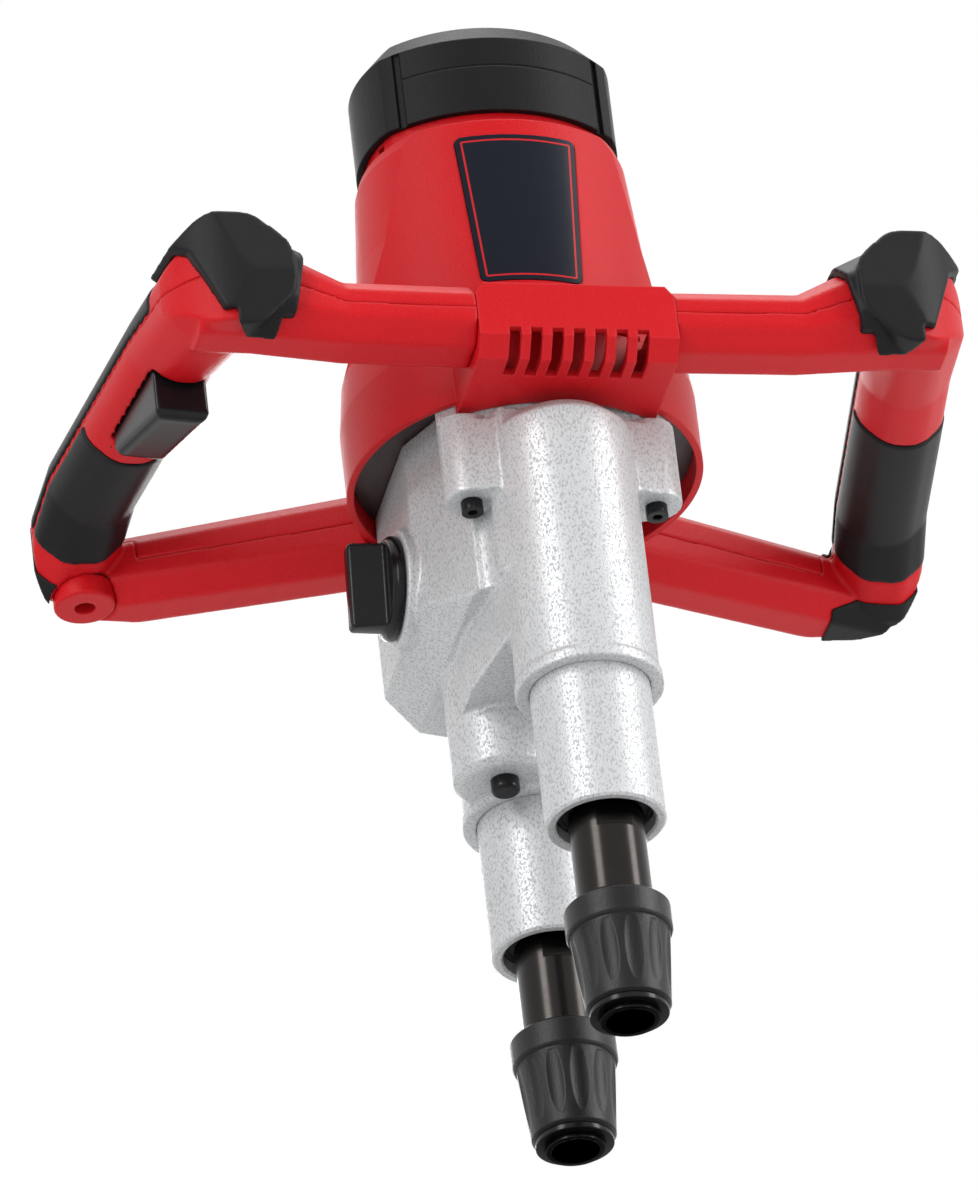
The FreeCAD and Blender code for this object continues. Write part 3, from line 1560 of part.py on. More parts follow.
fan = rod(fan_radius, fan_low, fan_low + fan_disc_thick, motor_axis)
fan = fan.fuse(rod(fan_hub_radius, fan_low, fan_low + fan_disc_thick + fan_blade_height, motor_axis))
blade = block(
    fan_hub_radius - fan_blade_thick,
    fan_radius - fan_blade_thick,
    -fan_blade_thick / 2,
    fan_blade_thick / 2,
    fan_low,
    fan_low + fan_disc_thick + fan_blade_height,
)
blade.translate(vec(motor_axis[0], motor_axis[1], 0))
fan = fan.multiFuse(around(blade, motor_axis, fan_blade_count))
fan = fan.cut(rod(shaft_radius + press_gap, fan_low - cut_over, stator_low, motor_axis))
save("fan", fan.removeSplitter())

motor_bearings = [
    bearing(
        motor_bearing_radius - press_gap,
        motor_bearing_bore + running_gap,
        motor_bearing_low,
        motor_bearing_thick,
        motor_axis,
    ),
    bearing(
        upper_bearing_radius - press_gap,
        shaft_top_radius + running_gap,
        upper_bearing_low,
        upper_bearing_thick,
        motor_axis,
    ),
]
save("motor_bearings", Part.makeCompound(motor_bearings))

# Brush bridge across the housing's neck, with the brush boxes hanging under it
bridge_reach = cap_radius - neck_inset - housing_wall - seat_gap
bridge_half = bridge_arm_width / 2 - seat_gap
bridge = rod(bridge_reach, bridge_low, bridge_low + bridge_thick, motor_axis)
bridge = bridge.common(
    block(
        -bridge_reach,
        bridge_reach,
        motor_setback - bridge_half,
        motor_setback + bridge_half,
        bridge_low,
        bridge_low + bridge_thick,
    )
)
bridge = bridge.fuse(rod(bridge_cup_radius, bridge_low, bridge_low + bridge_cup_height, motor_axis))
bridge = bridge.cut(
    rod(upper_bearing_radius, upper_bearing_low, bridge_low + bridge_cup_height + cut_over, motor_axis)
)
shaft_hole = rod(shaft_radius + clear_gap, bridge_low - cut_over, upper_bearing_low + cut_over, motor_axis)
bridge = bridge.cut(shaft_hole)
brush_middle = (commutator_low + commutator_high) / 2
box_half_width = brush_width / 2 + brush_box_wall
box_half_height = brush_height / 2 + brush_box_wall
brushes = []
for side in (-1, 1):
    near = side * brush_box_start
    far = side * (brush_box_start + brush_box_length)
    box = block(
        min(near, far),
        max(near, far),
        motor_setback - box_half_width,
        motor_setback + box_half_width,
        brush_middle - box_half_height,
        bridge_low,
    )
    tunnel_end = far - side * brush_box_wall
    tunnel = block(
        min(near - side * cut_over, tunnel_end),
        max(near - side * cut_over, tunnel_end),
        motor_setback - brush_width / 2 - running_gap,
        motor_setback + brush_width / 2 + running_gap,
        brush_middle - brush_height / 2 - running_gap,
        brush_middle + brush_height / 2 + running_gap,
    )
    bridge = bridge.fuse(box.cut(tunnel))
    brush_start = side * (commutator_radius + brush_gap)
    brush_end = brush_start + side * brush_length
    brush = block(
        min(brush_start, brush_end),
        max(brush_start, brush_end),
        motor_setback - brush_width / 2,
        motor_setback + brush_width / 2,
        brush_middle - brush_height / 2,
        brush_middle + brush_height / 2,
    )
    brushes.append(brush)
for spot in cap_screw_spots:
    screw_hole_radius = cap_screw_radius + press_gap
    bridge = bridge.cut(rod(screw_hole_radius, bridge_low - cut_over, upper_bearing_low + cut_over, spot))
save("brush_bridge", bridge.removeSplitter())
save("carbon_brushes", Part.makeCompound(brushes))

# Handle loops
turn_half = math.radians(22.5)
chamfer_growth = 2 - math.sqrt(2)
arm_runs = ((arm_heading, arm_start, arm_end), (arm_heading, arm_end, knuckle_start))
corner_runs = ((arm_heading, knuckle_start, knuckle_end), (grip_heading, grip_nose, grip_neck))
grip_runs = ((grip_heading, grip_neck, grip_start), (grip_heading, grip_start, grip_end))
tail_runs = ((grip_heading, grip_end, tail_start), (grip_heading, tail_start, tail_end))
rear_runs = ((rear_heading, rear_arm_start, rear_arm_end),)
loop_runs = arm_runs + corner_runs + grip_runs + tail_runs + rear_runs
far_reach = plan_rear_side * 2
grip_lean = (grip_end[0] - grip_start[0]) / (grip_end[1] - grip_start[1])
handle_low = boss_low
handle_high = cap_top


def section_frame(heading, section):
    angle = math.radians(heading)
    centre = vec(section[0], middle + section[1], section[2])
    across = vec(-math.sin(angle), math.cos(angle), 0)
    return centre, across


def loop_section(heading, section, grow):
    # Octagon with rounded corners, square to the run's heading
    centre, across = section_frame(heading, section)
    half_width = section[3] / 2 + grow
    half_height = section[4] / 2 + grow
    chamfer = section[5] + grow * chamfer_growth
    rounding = max(section[6] + grow, round_least)
    flat_width = half_width - chamfer
    flat_height = half_height - chamfer
    corners = [
        (half_width, flat_height),
        (flat_width, half_height),
        (-flat_width, half_height),
        (-half_width, flat_height),
        (-half_width, -flat_height),
        (-flat_width, -half_height),
        (flat_width, -half_height),
        (half_width, -flat_height),
    ]
    spots = [centre + across * u + vec(0, 0, v) for u, v in corners]
    count = len(spots)
    trim = rounding * math.tan(turn_half)
    sag = rounding / math.cos(turn_half) - rounding
    arcs = []
    for index in range(count):
        spot = spots[index]
        back = (spots[index - 1] - spot).normalize()
        ahead = (spots[(index + 1) % count] - spot).normalize()
        inward = (back + ahead).normalize()
        arcs.append((spot + back * trim, spot + inward * sag, spot + ahead * trim))
    edges = []
    for index in range(count):
        start, mid, end = arcs[index]
        edges.append(Part.Arc(start, mid, end).toShape())
        edges.append(Part.LineSegment(end, arcs[(index + 1) % count][0]).toShape())
    return Part.Wire(edges)


def plan_prism(grow):
    # Outline of the loop seen from above, with its two rounded outer corners
    points = [
        (0, middle + plan_front - grow),
        (plan_front_side + grow, middle + plan_front - grow),
        (plan_rear_side + grow, middle + plan_rear + grow),
        (0, middle + plan_rear + grow),
    ]
    body = prism(points, handle_low, handle_high)
    for corner, rounding in ((points[1], plan_front_round), (points[2], plan_rear_round)):
        upright = [
            edge
            for edge in body.Edges
            if edge.BoundBox.ZLength > handle_high / 2 and edge.Vertexes[0].Point.sub(vec(
                corner[0], corner[1], edge.Vertexes[0].Point.z)).Length < seat_gap
        ]
        body = body.makeFillet(rounding + grow, upright)
    return body


def loop_solid(grow):
    runs = []
    for heading, start, end in loop_runs:
        wires = [loop_section(heading, start, grow), loop_section(heading, end, grow)]
        runs.append(Part.makeLoft(wires, True, True))
    return runs[0].multiFuse(runs[1:]).common(plan_prism(grow))


def loop_half(shift):
    # Everything below the loop's centre line, moved up by the shift
    parts = []
    for heading, start, end in loop_runs:
        wires = []
        for section in (start, end):
            centre, across = section_frame(heading, section)
            half_width = section[3] / 2 + bumper_proud + cut_over
            drop = section[4] / 2 + bumper_proud + cut_over
            spots = [
                centre - across * half_width + vec(0, 0, shift),
                centre + across * half_width + vec(0, 0, shift),
                centre + across * half_width - vec(0, 0, drop),
                centre - across * half_width - vec(0, 0, drop),
            ]
            wires.append(Part.makePolygon(spots + [spots[0]]))
        parts.append(Part.makeLoft(wires, True, True))
    return parts[0].multiFuse(parts[1:])


def grip_side(back):
    return grip_start[0] + (back - grip_start[1]) * grip_lean


def grip_zone(front, rear, grow):
    # Stretch of the grip between two places, clear of the rear arm
    low = front - grow
    high = rear + grow
    return prism(
        [
            (grip_side(low) - pad_side, middle + low),
            (far_reach, middle + low),
            (far_reach, middle + high),
            (grip_side(high) - pad_side, middle + high),
        ],
        handle_low,
        handle_high,
    )


front_block = block(
    -far_reach, outlet_half_width + seat_gap, -far_reach, motor_setback, handle_low, handle_high
)
end_block = block(
    -far_reach, outlet_half_width + handle_end_wall, -far_reach, motor_setback, handle_low, handle_high
)
skirt_room = rod(skirt_radius + seat_gap, handle_low, handle_high, motor_axis)
end_room = rod(skirt_radius + handle_end_wall, handle_low, handle_high, motor_axis)
loop = loop_solid(0).cut(skirt_room).cut(front_block)
hollow = loop_solid(-handle_wall).cut(end_room).cut(end_block)
pad_skin = loop_solid(pad_proud).cut(loop_solid(-pad_depth))
bumper_body = loop_solid(bumper_proud)
pad_floor = loop_solid(-pad_depth - pad_gap)
pad_room = bumper_body.cut(pad_floor)
bumper_floor = loop_solid(bumper_gap)
bumper_skin = bumper_body.cut(bumper_floor)
rear_bumper_skin = loop_solid(rear_bumper_proud).cut(bumper_floor)
loop_shell = loop.cut(hollow)
half_plane = loop_half(0)
pad_below = loop_half(-pad_seam)
pad_above = loop_half(pad_seam)
room_below = loop_half(-pad_seam + pad_gap)
room_above = loop_half(pad_seam - pad_gap)


def handle_set(lower_front):
    lower_pad = pad_skin.common(grip_zone(lower_front, pad_rear, 0)).common(pad_below)
    upper_pad = pad_skin.common(grip_zone(upper_pad_front, upper_pad_rear, 0)).cut(pad_above)
    lower_room = pad_room.common(grip_zone(lower_front, pad_rear, pad_gap)).common(room_below)
    upper_room = pad_room.common(grip_zone(upper_pad_front, upper_pad_rear, pad_gap)).cut(room_above)
    shell = loop_shell.cut(lower_room).cut(upper_room)
    return shell.cut(half_plane), shell.common(half_plane), upper_pad, lower_pad


front_wedge = slab_along_y(
    [
        (bumper_top_side, bumper_high),
        (bumper_low_side, bumper_low),
        (far_reach, bumper_low),
        (far_reach, handle_high),
        (bumper_top_side, handle_high),
    ],
    middle - far_reach,
    middle + bumper_back,
)
# The outer cheek below the bumper's lip stays bare
cheek = slab_along_y(
    [
        (bumper_cheek_side, bumper_cheek_height),
        (bumper_cheek_low_side, bumper_cheek_low),
        (bumper_cheek_low_side, handle_low),
        (far_reach, handle_low),
        (far_reach, bumper_cheek_height + bumper_cheek_rise),
        (bumper_cheek_side + bumper_cheek_run, bumper_cheek_height + bumper_cheek_rise),
    ],
    middle - far_reach,
    middle,
)
front_wedge = front_wedge.cut(cheek)
# Under the arm the bumper narrows to a heel, and over the knuckle it reaches back to the pad
under_arm = block(0, far_reach, -far_reach, far_reach, handle_low, bumper_heel_high)
heel = prism(
    [
        (bumper_low_side, middle - far_reach),
        (bumper_low_side, middle + bumper_heel_waist),
        (bumper_heel_inner, middle + bumper_heel_back),
        (bumper_heel_outer, middle + bumper_heel_back),
        (bumper_cheek_low_side, middle + bumper_heel_waist),
        (bumper_cheek_low_side, middle - far_reach),
    ],
    bumper_low,
    bumper_heel_high,
)
saddle = block(
    bumper_top_side,
    far_reach,
    middle + bumper_back - cut_over,
    middle + upper_pad_front - bumper_pad_gap,
    bumper_saddle_low,
    handle_high,
)
front_wedge = front_wedge.cut(under_arm).fuse(heel).fuse(saddle.cut(cheek))
# Two leaning facets meet in a ridge across the bumper's face
bumper_face = middle + plan_front - bumper_proud
facet_lean = bumper_proud - bumper_edge_thick
facet_rise = facet_lean / (bumper_high - bumper_ridge_height)
facet_fall = facet_lean / (bumper_ridge_height - bumper_ridge_low)
facets = slab_along_x(
    [
        (bumper_face, bumper_ridge_height),
        (bumper_face + (handle_high - bumper_ridge_height) * facet_rise, handle_high),
        (bumper_face - bumper_proud, handle_high),
        (bumper_face - bumper_proud, handle_low),
        (bumper_face + (bumper_ridge_height - handle_low) * facet_fall, handle_low),
    ],
    0,
    far_reach,
)
front_wedge = front_wedge.cut(facets)
rear_wedge = prism(
    [
        (bumper_rear_side, middle + bumper_rear_front),
        (far_reach, middle + bumper_rear_front),
        (far_reach, middle + far_reach),
        (bumper_rear_side - bumper_rear_lean, middle + far_reach),
    ],
    handle_low,
    handle_high,
)
front_bumper = bumper_skin.common(front_wedge)
rear_bumper = rear_bumper_skin.common(rear_wedge)
mirror_spot = vec(0, 0, 0)
mirror_way = vec(1, 0, 0)
save("front_bumpers", Part.makeCompound([front_bumper, front_bumper.mirror(mirror_spot, mirror_way)]))

plain_upper, plain_lower, plain_upper_pad, plain_lower_pad = handle_set(pad_front)
switch_upper, switch_lower, switch_upper_pad, switch_lower_pad = handle_set(pad_front_switch)
save("plain_grip_pads", Part.makeCompound([plain_upper_pad, plain_lower_pad]))
save_mirrored("switch_grip_pads", Part.makeCompound([switch_upper_pad, switch_lower_pad]))

# Trigger in the grip, drawn at the grip's line and turned to its heading
def in_grip(shape):
    # Shapes drawn along +Y from the trigger's front end are set on the grip's line
    turn = grip_heading - 90
    shape.rotate(vec(0, 0, 0), vec(0, 0, 1), turn)
    shape.translate(vec(grip_side(trigger_front), middle + trigger_front, 0))
    return shape


def trigger():
    half = trigger_width / 2
    profile = [
        (0, trigger_low),
        (trigger_length, trigger_low + trigger_rise),
        (trigger_length, trigger_top),
        (0, trigger_top),
    ]
    body = slab_along_x(profile, -half, half)
    rounded = [
        edge
        for edge in body.Edges
        if edge.BoundBox.YLength > trigger_length / 2 and edge.BoundBox.ZMin < trigger_low + trigger_edge
    ]
    nose = [
        edge
        for edge in body.Edges
        if edge.BoundBox.YMax < trigger_edge and edge.BoundBox.ZMax < trigger_low + trigger_edge
    ]
    body = body.makeFillet(trigger_edge, rounded + nose)
    lug_end = trigger_length + trigger_pivot_inset * 2
    lug = block(
        -trigger_lug_width / 2,
        trigger_lug_width / 2,
        trigger_length - trigger_edge,
        lug_end,
        trigger_pivot_height - trigger_lug_drop,
        trigger_top + trigger_pivot_inset / 2,
    )
    body = body.fuse(lug)
    plunger_spot = (0, trigger_length / 2)
    plunger_top = switch_low - trigger_press - clear_gap
    body = body.fuse(rod(plunger_radius, trigger_top - cut_over, plunger_top, plunger_spot))
    pivot_along = trigger_length + trigger_pivot_inset
    pivot = rod_along_x(trigger_pin_radius + running_gap, -half, half, pivot_along, trigger_pivot_height)
    return in_grip(body.cut(pivot).removeSplitter())


def trigger_opening():
    half = trigger_width / 2 + trigger_side_gap
    return in_grip(
        block(
            -half,
            half,
            -trigger_nose_gap,
            trigger_length + trigger_rear_gap,
            trigger_low - cut_over,
            trigger_slot_top,
        )
    )


def pin_along(radius, length):
    pivot_along = trigger_length + trigger_pivot_inset
    pin = rod_along_x(radius, -length / 2, length / 2, pivot_along, trigger_pivot_height)
    return in_grip(pin)


lug_room = in_grip(
    block(
        -trigger_lug_width / 2 - trigger_side_gap,
        trigger_lug_width / 2 + trigger_side_gap,
        trigger_length - trigger_edge,
        trigger_length + trigger_pivot_inset * 2 + trigger_side_gap * 2,
        trigger_pivot_height - trigger_lug_drop - trigger_side_gap,
        trigger_slot_top,
    )
)
pin_room = pin_along(trigger_pin_radius + press_gap, trigger_pin_length + press_gap)
switch_lower = switch_lower.cut(trigger_opening()).cut(lug_room).cut(pin_room)
save_mirrored("trigger", trigger())
save_mirrored("trigger_pin", pin_along(trigger_pin_radius, trigger_pin_length))
switch_body = in_grip(
    block(
        -switch_width / 2,
        switch_width / 2,
        trigger_length / 2 - switch_length / 2,
        trigger_length / 2 + switch_length / 2,
        switch_low,
        switch_low + switch_height,
    )
)
save_mirrored("switch_module", switch_body.common(loop_solid(-handle_wall - seat_gap)))


# Screws that close the handle shells from above, and the posts that take them
def loop_heights(spot):
    # Lowest and highest point of the loop over a place in the plan
    nearest = None
    heights = None
    for heading, start, end in loop_runs:
        run_x = end[0] - start[0]
        run_y = end[1] - start[1]
        along = (spot[0] - start[0]) * run_x + (spot[1] - start[1]) * run_y
        share = min(max(along / (run_x ** 2 + run_y ** 2), 0), 1)
        miss = math.hypot(spot[0] - start[0] - share * run_x, spot[1] - start[1] - share * run_y)
        if nearest is None or miss < nearest:
            nearest = miss
            centre = start[2] + share * (end[2] - start[2])
            half = (start[4] + share * (end[4] - start[4])) / 2
            heights = (centre - half, centre + half)
    return heights


def close_handle(upper, lower):
    screws = []
    for spot in handle_post_rows:
        at = (spot[0], middle + spot[1])
        bottom, top = loop_heights(spot)
        post = rod(handle_post_radius, bottom, top, at).common(pad_floor)
        lower = lower.fuse(post.common(half_plane))
        upper = upper.fuse(post.cut(half_plane))
        shank_low = bottom + handle_wall * 2
        head_low = top - handle_wall - handle_screw_sink
        head_top = head_low + handle_screw_head_height
        room = rod(handle_screw_radius + press_gap, shank_low, top + cut_over, at)
        head_room = rod(handle_screw_head_radius + seat_gap, head_low, top + cut_over, at)
        upper = upper.cut(room).cut(head_room)
        lower = lower.cut(room)
        screw = rod(handle_screw_radius, shank_low, head_low, at)
        screw = screw.fuse(rod(handle_screw_head_radius, head_low, head_top, at))
        hex_floor = head_top - handle_screw_hex_depth
        screw = screw.cut(hexagon(handle_screw_hex_across, hex_floor, head_top + cut_over, at))
        screws.append(screw)
    return upper, lower, screws


plain_upper, plain_lower, plain_screws = close_handle(plain_upper, plain_lower)
switch_upper, switch_lower, switch_screws = close_handle(switch_upper, switch_lower)
housing_screws = plain_screws + [screw.mirror(mirror_spot, mirror_way) for screw in switch_screws]

# Cap screws, driven up through the brush bridge into the cap's posts
for spot in cap_screw_spots:
    housing_screws.append(
        socket_screw(
            spot,
            bridge_low,
            cap_screw_top,
            cap_screw_radius,
            cap_screw_head_radius,
            cap_screw_head_height,
            handle_screw_hex_across,
        )
    )
save("housing_screws", Part.makeCompound(housing_screws))

# Cable gland: a round collar under the rear corner of the trigger side, with the lead's bore
gland_at = (gland_side, middle + gland_back)
gland_high = gland_low + gland_length
gland_hole = rod(gland_radius + press_gap, gland_low - cut_over, gland_high + cut_over, gland_at)
switch_lower = switch_lower.cut(gland_hole)
gland = rod(gland_radius, gland_low, gland_high, gland_at)
gland_edges = [edge for edge in gland.Edges if edge.BoundBox.ZMax < gland_low + press_gap]
gland = gland.makeFillet(gland_edge, gland_edges)
gland = gland.cut(rod(gland_bore_radius, gland_low - cut_over, gland_high + cut_over, gland_at))
save_mirrored("cable_gland", gland)
gland_clearance = rod(gland_radius + gland_edge, handle_low, gland_high + cut_over, gland_at)
gland_inside = block(0, gland_side + gland_bore_radius, 0, far_reach, handle_low, handle_high)
switch_rear_bumper = rear_bumper.cut(gland_clearance).cut(gland_inside)
rear_bumpers = [rear_bumper, switch_rear_bumper.mirror(mirror_spot, mirror_way)]
save("rear_bumpers", Part.makeCompound(rear_bumpers))
save("plain_handle_upper", plain_upper)
save("plain_handle_lower", plain_lower)
save_mirrored("switch_handle_upper", switch_upper)
save_mirrored("switch_handle_lower", switch_lower)
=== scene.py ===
# %% [markdown]
# # A twin-spindle mixing drill, dressed for its picture
# The machine is a two-handed mixer for mortar and plaster: a motor on top, a cast gear case under it,
# two spindles that turn against each other, and a looped handle on each side. Its solids come from the
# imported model, so this lesson only rounds what a mould would round, adds the printed label, and gives
# every surface its finish. Everything is in metres, with Z up and the front spindle's mouth at the origin.

import json
import math

import bpy
from mathutils import Matrix, Vector

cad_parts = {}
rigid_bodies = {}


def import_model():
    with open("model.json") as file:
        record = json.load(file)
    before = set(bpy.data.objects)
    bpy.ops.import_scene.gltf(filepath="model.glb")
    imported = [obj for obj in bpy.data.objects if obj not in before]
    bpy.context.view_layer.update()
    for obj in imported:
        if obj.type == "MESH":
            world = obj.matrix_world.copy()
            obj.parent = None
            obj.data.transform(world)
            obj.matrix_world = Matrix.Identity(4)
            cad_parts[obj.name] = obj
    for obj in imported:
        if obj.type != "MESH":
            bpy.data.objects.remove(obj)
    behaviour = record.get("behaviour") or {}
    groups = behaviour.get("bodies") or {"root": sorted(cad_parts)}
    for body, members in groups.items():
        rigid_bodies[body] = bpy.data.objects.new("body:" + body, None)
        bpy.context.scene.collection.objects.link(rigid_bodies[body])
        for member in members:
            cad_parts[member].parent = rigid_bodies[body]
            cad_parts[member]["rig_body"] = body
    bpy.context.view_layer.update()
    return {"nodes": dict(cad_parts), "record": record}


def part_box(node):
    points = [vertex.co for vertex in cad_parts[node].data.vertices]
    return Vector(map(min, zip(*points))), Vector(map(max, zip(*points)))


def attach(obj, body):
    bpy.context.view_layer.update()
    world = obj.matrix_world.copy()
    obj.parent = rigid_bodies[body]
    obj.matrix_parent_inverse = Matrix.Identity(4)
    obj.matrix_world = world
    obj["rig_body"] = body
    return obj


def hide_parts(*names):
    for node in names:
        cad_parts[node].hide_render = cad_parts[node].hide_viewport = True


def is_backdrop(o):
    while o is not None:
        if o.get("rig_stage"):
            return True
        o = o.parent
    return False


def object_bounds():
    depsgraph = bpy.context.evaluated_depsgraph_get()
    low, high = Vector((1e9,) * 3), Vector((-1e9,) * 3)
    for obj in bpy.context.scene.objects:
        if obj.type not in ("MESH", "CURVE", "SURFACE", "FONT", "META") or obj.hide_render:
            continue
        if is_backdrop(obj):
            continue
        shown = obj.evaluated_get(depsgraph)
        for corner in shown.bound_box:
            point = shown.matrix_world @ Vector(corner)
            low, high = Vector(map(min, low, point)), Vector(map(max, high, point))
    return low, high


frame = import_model()
nodes = frame["nodes"]

# %% [markdown]
# ## The camera
# The photograph looks up at the machine from below and a little to its left, through a long lens that
# keeps the two spindles nearly parallel. A camera could be aimed by a tracking constraint, but the picture
# is also rolled by a few degrees, so the three axes of the view are written out and put in one matrix.

# %% Camera at the photograph's viewing angle
view_azimuth = math.radians(-15.41)
view_elevation = math.radians(-31.20)
view_roll = math.radians(6.83)
view_distance = 6.092
lens_length = 451.1
sensor_width = 36
far_clip = 100
between_spindles = Vector((0, 0.0525, 0.005))
shift_across = -0.0224
shift_upward = 0.1969
back = Vector((
    math.sin(view_azimuth) * math.cos(view_elevation),
    -math.cos(view_azimuth) * math.cos(view_elevation),
    math.sin(view_elevation),
))
across = Vector((math.cos(view_azimuth), math.sin(view_azimuth), 0))
upward = back.cross(across)
aim = between_spindles + shift_across * across + shift_upward * upward
right = math.cos(view_roll) * across - math.sin(view_roll) * upward
top = math.sin(view_roll) * across + math.cos(view_roll) * upward
camera_data = bpy.data.cameras.new("photo_camera")
camera_data.lens = lens_length
camera_data.sensor_width = sensor_width
camera_data.clip_end = far_clip
camera = bpy.data.objects.new("photo_camera", camera_data)
bpy.context.scene.collection.objects.link(camera)
turned_to_view = Matrix((right, top, back)).transposed().to_4x4()
camera.matrix_world = Matrix.Translation(aim + view_distance * back) @ turned_to_view
bpy.context.scene.camera = camera
bpy.context.scene.view_settings.view_transform = "Standard"
print("camera at", [round(v, 2) for v in camera.location], "lens", lens_length)

# %% [markdown]
# ## Writing shaders as sums
# A finish is a small network of nodes. Wired by hand, each sum is a Math node and two links. Here one class
# stands for a socket and turns an expression such as `1 - mask * 0.5` into those nodes, and one method makes
# any other node from its type, its settings and its inputs.

# %% A socket that can be calculated with
class Signal:
    def __init__(self, finish, socket):
        self.finish = finish
        self.socket = socket

    def maths(self, operation, first, second):
        return self.finish.node("ShaderNodeMath", {"operation": operation}, {0: first, 1: second})

    def __add__(self, other):
        return self.maths("ADD", self, other)

    def __radd__(self, other):
        return self.maths("ADD", other, self)

    def __sub__(self, other):
        return self.maths("SUBTRACT", self, other)

    def __rsub__(self, other):
        return self.maths("SUBTRACT", other, self)

    def __mul__(self, other):
        return self.maths("MULTIPLY", self, other)

    def __rmul__(self, other):
        return self.maths("MULTIPLY", other, self)

    def limited(self):
        return self.finish.node("ShaderNodeClamp", {}, {"Value": self})

    def above(self, level, softness):
        return self.finish.node(
            "ShaderNodeMapRange", {"interpolation_type": "SMOOTHSTEP"},
            {"Value": self, "From Min": level - softness, "From Max": level + softness},
        )


print("shader sums ready")

# %% A finish and its nodes
class Finish:
    def __init__(self, name, colour, roughness, metallic=0.0, **fixed):
        self.material = bpy.data.materials.new(name)
        self.material.use_nodes = True
        self.tree = self.material.node_tree
        self.shader = self.tree.nodes["Principled BSDF"]
        self.material.diffuse_color = (*colour, 1)
        values = {"Base Color": (*colour, 1), "Roughness": roughness, "Metallic": metallic, **fixed}
        for socket, value in values.items():
            self.shader.inputs[socket].default_value = value
        self.place = self.node("ShaderNodeTexCoord", {}, {}, "Object")

    def node(self, kind, settings, inputs, output=0):
        made = self.tree.nodes.new(kind)
        for key, value in settings.items():
            setattr(made, key, value)
        for key, value in inputs.items():
            if isinstance(value, Signal):
                self.tree.links.new(value.socket, made.inputs[key])
            else:
                made.inputs[key].default_value = value
        return Signal(self, made.outputs[output])

    def feed(self, socket, signal):
        self.tree.links.new(signal.socket, self.shader.inputs[socket])

    def noise(self, scale, detail=2.0, roughness=0.5, stretch=(1, 1, 1), turn=(0, 0, 0)):
        place = self.node("ShaderNodeMapping", {}, {"Vector": self.place, "Scale": stretch, "Rotation": turn})
        return self.node(
            "ShaderNodeTexNoise", {}, {"Vector": place, "Scale": scale, "Detail": detail, "Roughness": roughness}
        )

    def mixed(self, share, first, second):
        colours = [value if isinstance(value, Signal) else (*value, 1) for value in (first, second)]
        return self.node("ShaderNodeMix", {"data_type": "RGBA"}, {0: share, 6: colours[0], 7: colours[1]}, 2)

    def rounded(self, radius):
        return self.node("ShaderNodeBevel", {"samples": 4}, {"Radius": radius})

    def edge_of(self, rounded, turn_level=0.04, softness=0.03):
        flat = self.node("ShaderNodeNewGeometry", {}, {}, "Normal")
        facing = self.node("ShaderNodeVectorMath", {"operation": "DOT_PRODUCT"}, {0: rounded, 1: flat}, "Value")
        return (1 - facing).above(turn_level, softness)

    def bump(self, height, depth, strength=1.0, normal=None):
        inputs = {"Height": height, "Distance": depth, "Strength": strength}
        if normal is not None:
            inputs["Normal"] = normal
        self.feed("Normal", self.node("ShaderNodeBump", {}, inputs))


print("finish maker ready")

# %% [markdown]
# ## Moulded red plastic
# The housing and the handles are glass-filled nylon. Its mould is spark-eroded, which leaves a fine grain
# that breaks highlights up, and the colour drifts slightly where the melt has flowed. A flat red with a low
# roughness would look like wet paint, so the grain goes into the bump and also into the roughness.

# %% Red shell
def moulded(name, *, colour, deep, edge_highlight_colour, edge_radius, roughness, sheen, grain_scale, grain_depth):
    finish = Finish(name, colour, roughness, **{"Specular IOR Level": sheen})
    grain = finish.noise(grain_scale, 3.0, 0.6)
    drift = finish.noise(9.0, 2.0)
    rounded = finish.rounded(edge_radius)
    # Rounded edges are mixed towards a lighter edge colour: a painted highlight along every edge.
    edge_highlight = finish.edge_of(rounded)
    body = finish.mixed((drift * 0.35 + grain * 0.65).limited(), deep, colour)
    finish.feed("Base Color", finish.mixed(edge_highlight * 0.45, body, edge_highlight_colour))
    finish.feed("Roughness", roughness - 0.10 + grain * 0.16 + drift * 0.06)
    finish.bump(grain, grain_depth, 0.55, rounded)
    return finish.material


red_shell = moulded(
    "red_shell",
    colour=(0.68, 0.010, 0.016),
    deep=(0.38, 0.002, 0.005),
    edge_highlight_colour=(0.74, 0.03, 0.04),
    edge_radius=0.0012,
    roughness=0.38,
    sheen=0.17,
    grain_scale=1400.0,
    grain_depth=0.00040,
)
print("finish:", red_shell.name)

# %% [markdown]
# ## Black plastics and rubber
# Several blacks sit side by side on the machine. The motor cap is a coarse-grained cover, the grips and bumpers
# are a satin rubber, the coupling sleeves are finely grained, and the trigger, the selector and the coupling
# rings are polished. They differ in grain and gloss and hardly at all in colour, so each gets its own numbers.
# Every moulded black, like the red, is lightened along its rounded edges as a painted highlight.

# %% Motor cover, grip rubber and gloss black
black_cover = moulded(
    "black_cover",
    colour=(0.012, 0.012, 0.013),
    deep=(0.005, 0.005, 0.006),
    edge_highlight_colour=(0.035, 0.035, 0.036),
    edge_radius=0.0012,
    roughness=0.40,
    sheen=0.10,
    grain_scale=1300.0,
    grain_depth=0.00034,
)
soft_grip = moulded(
    "soft_grip",
    colour=(0.012, 0.012, 0.013),
    deep=(0.006, 0.006, 0.007),
    edge_highlight_colour=(0.036, 0.035, 0.035),
    edge_radius=0.0015,
    roughness=0.40,
    sheen=0.14,
    grain_scale=2100.0,
    grain_depth=0.00018,
)
sleeve_black = moulded(
    "sleeve_black",
    colour=(0.006, 0.006, 0.007),
    deep=(0.002, 0.002, 0.003),
    edge_highlight_colour=(0.050, 0.050, 0.052),
    edge_radius=0.0010,
    roughness=0.30,
    sheen=0.30,
    grain_scale=1700.0,
    grain_depth=0.00030,
)


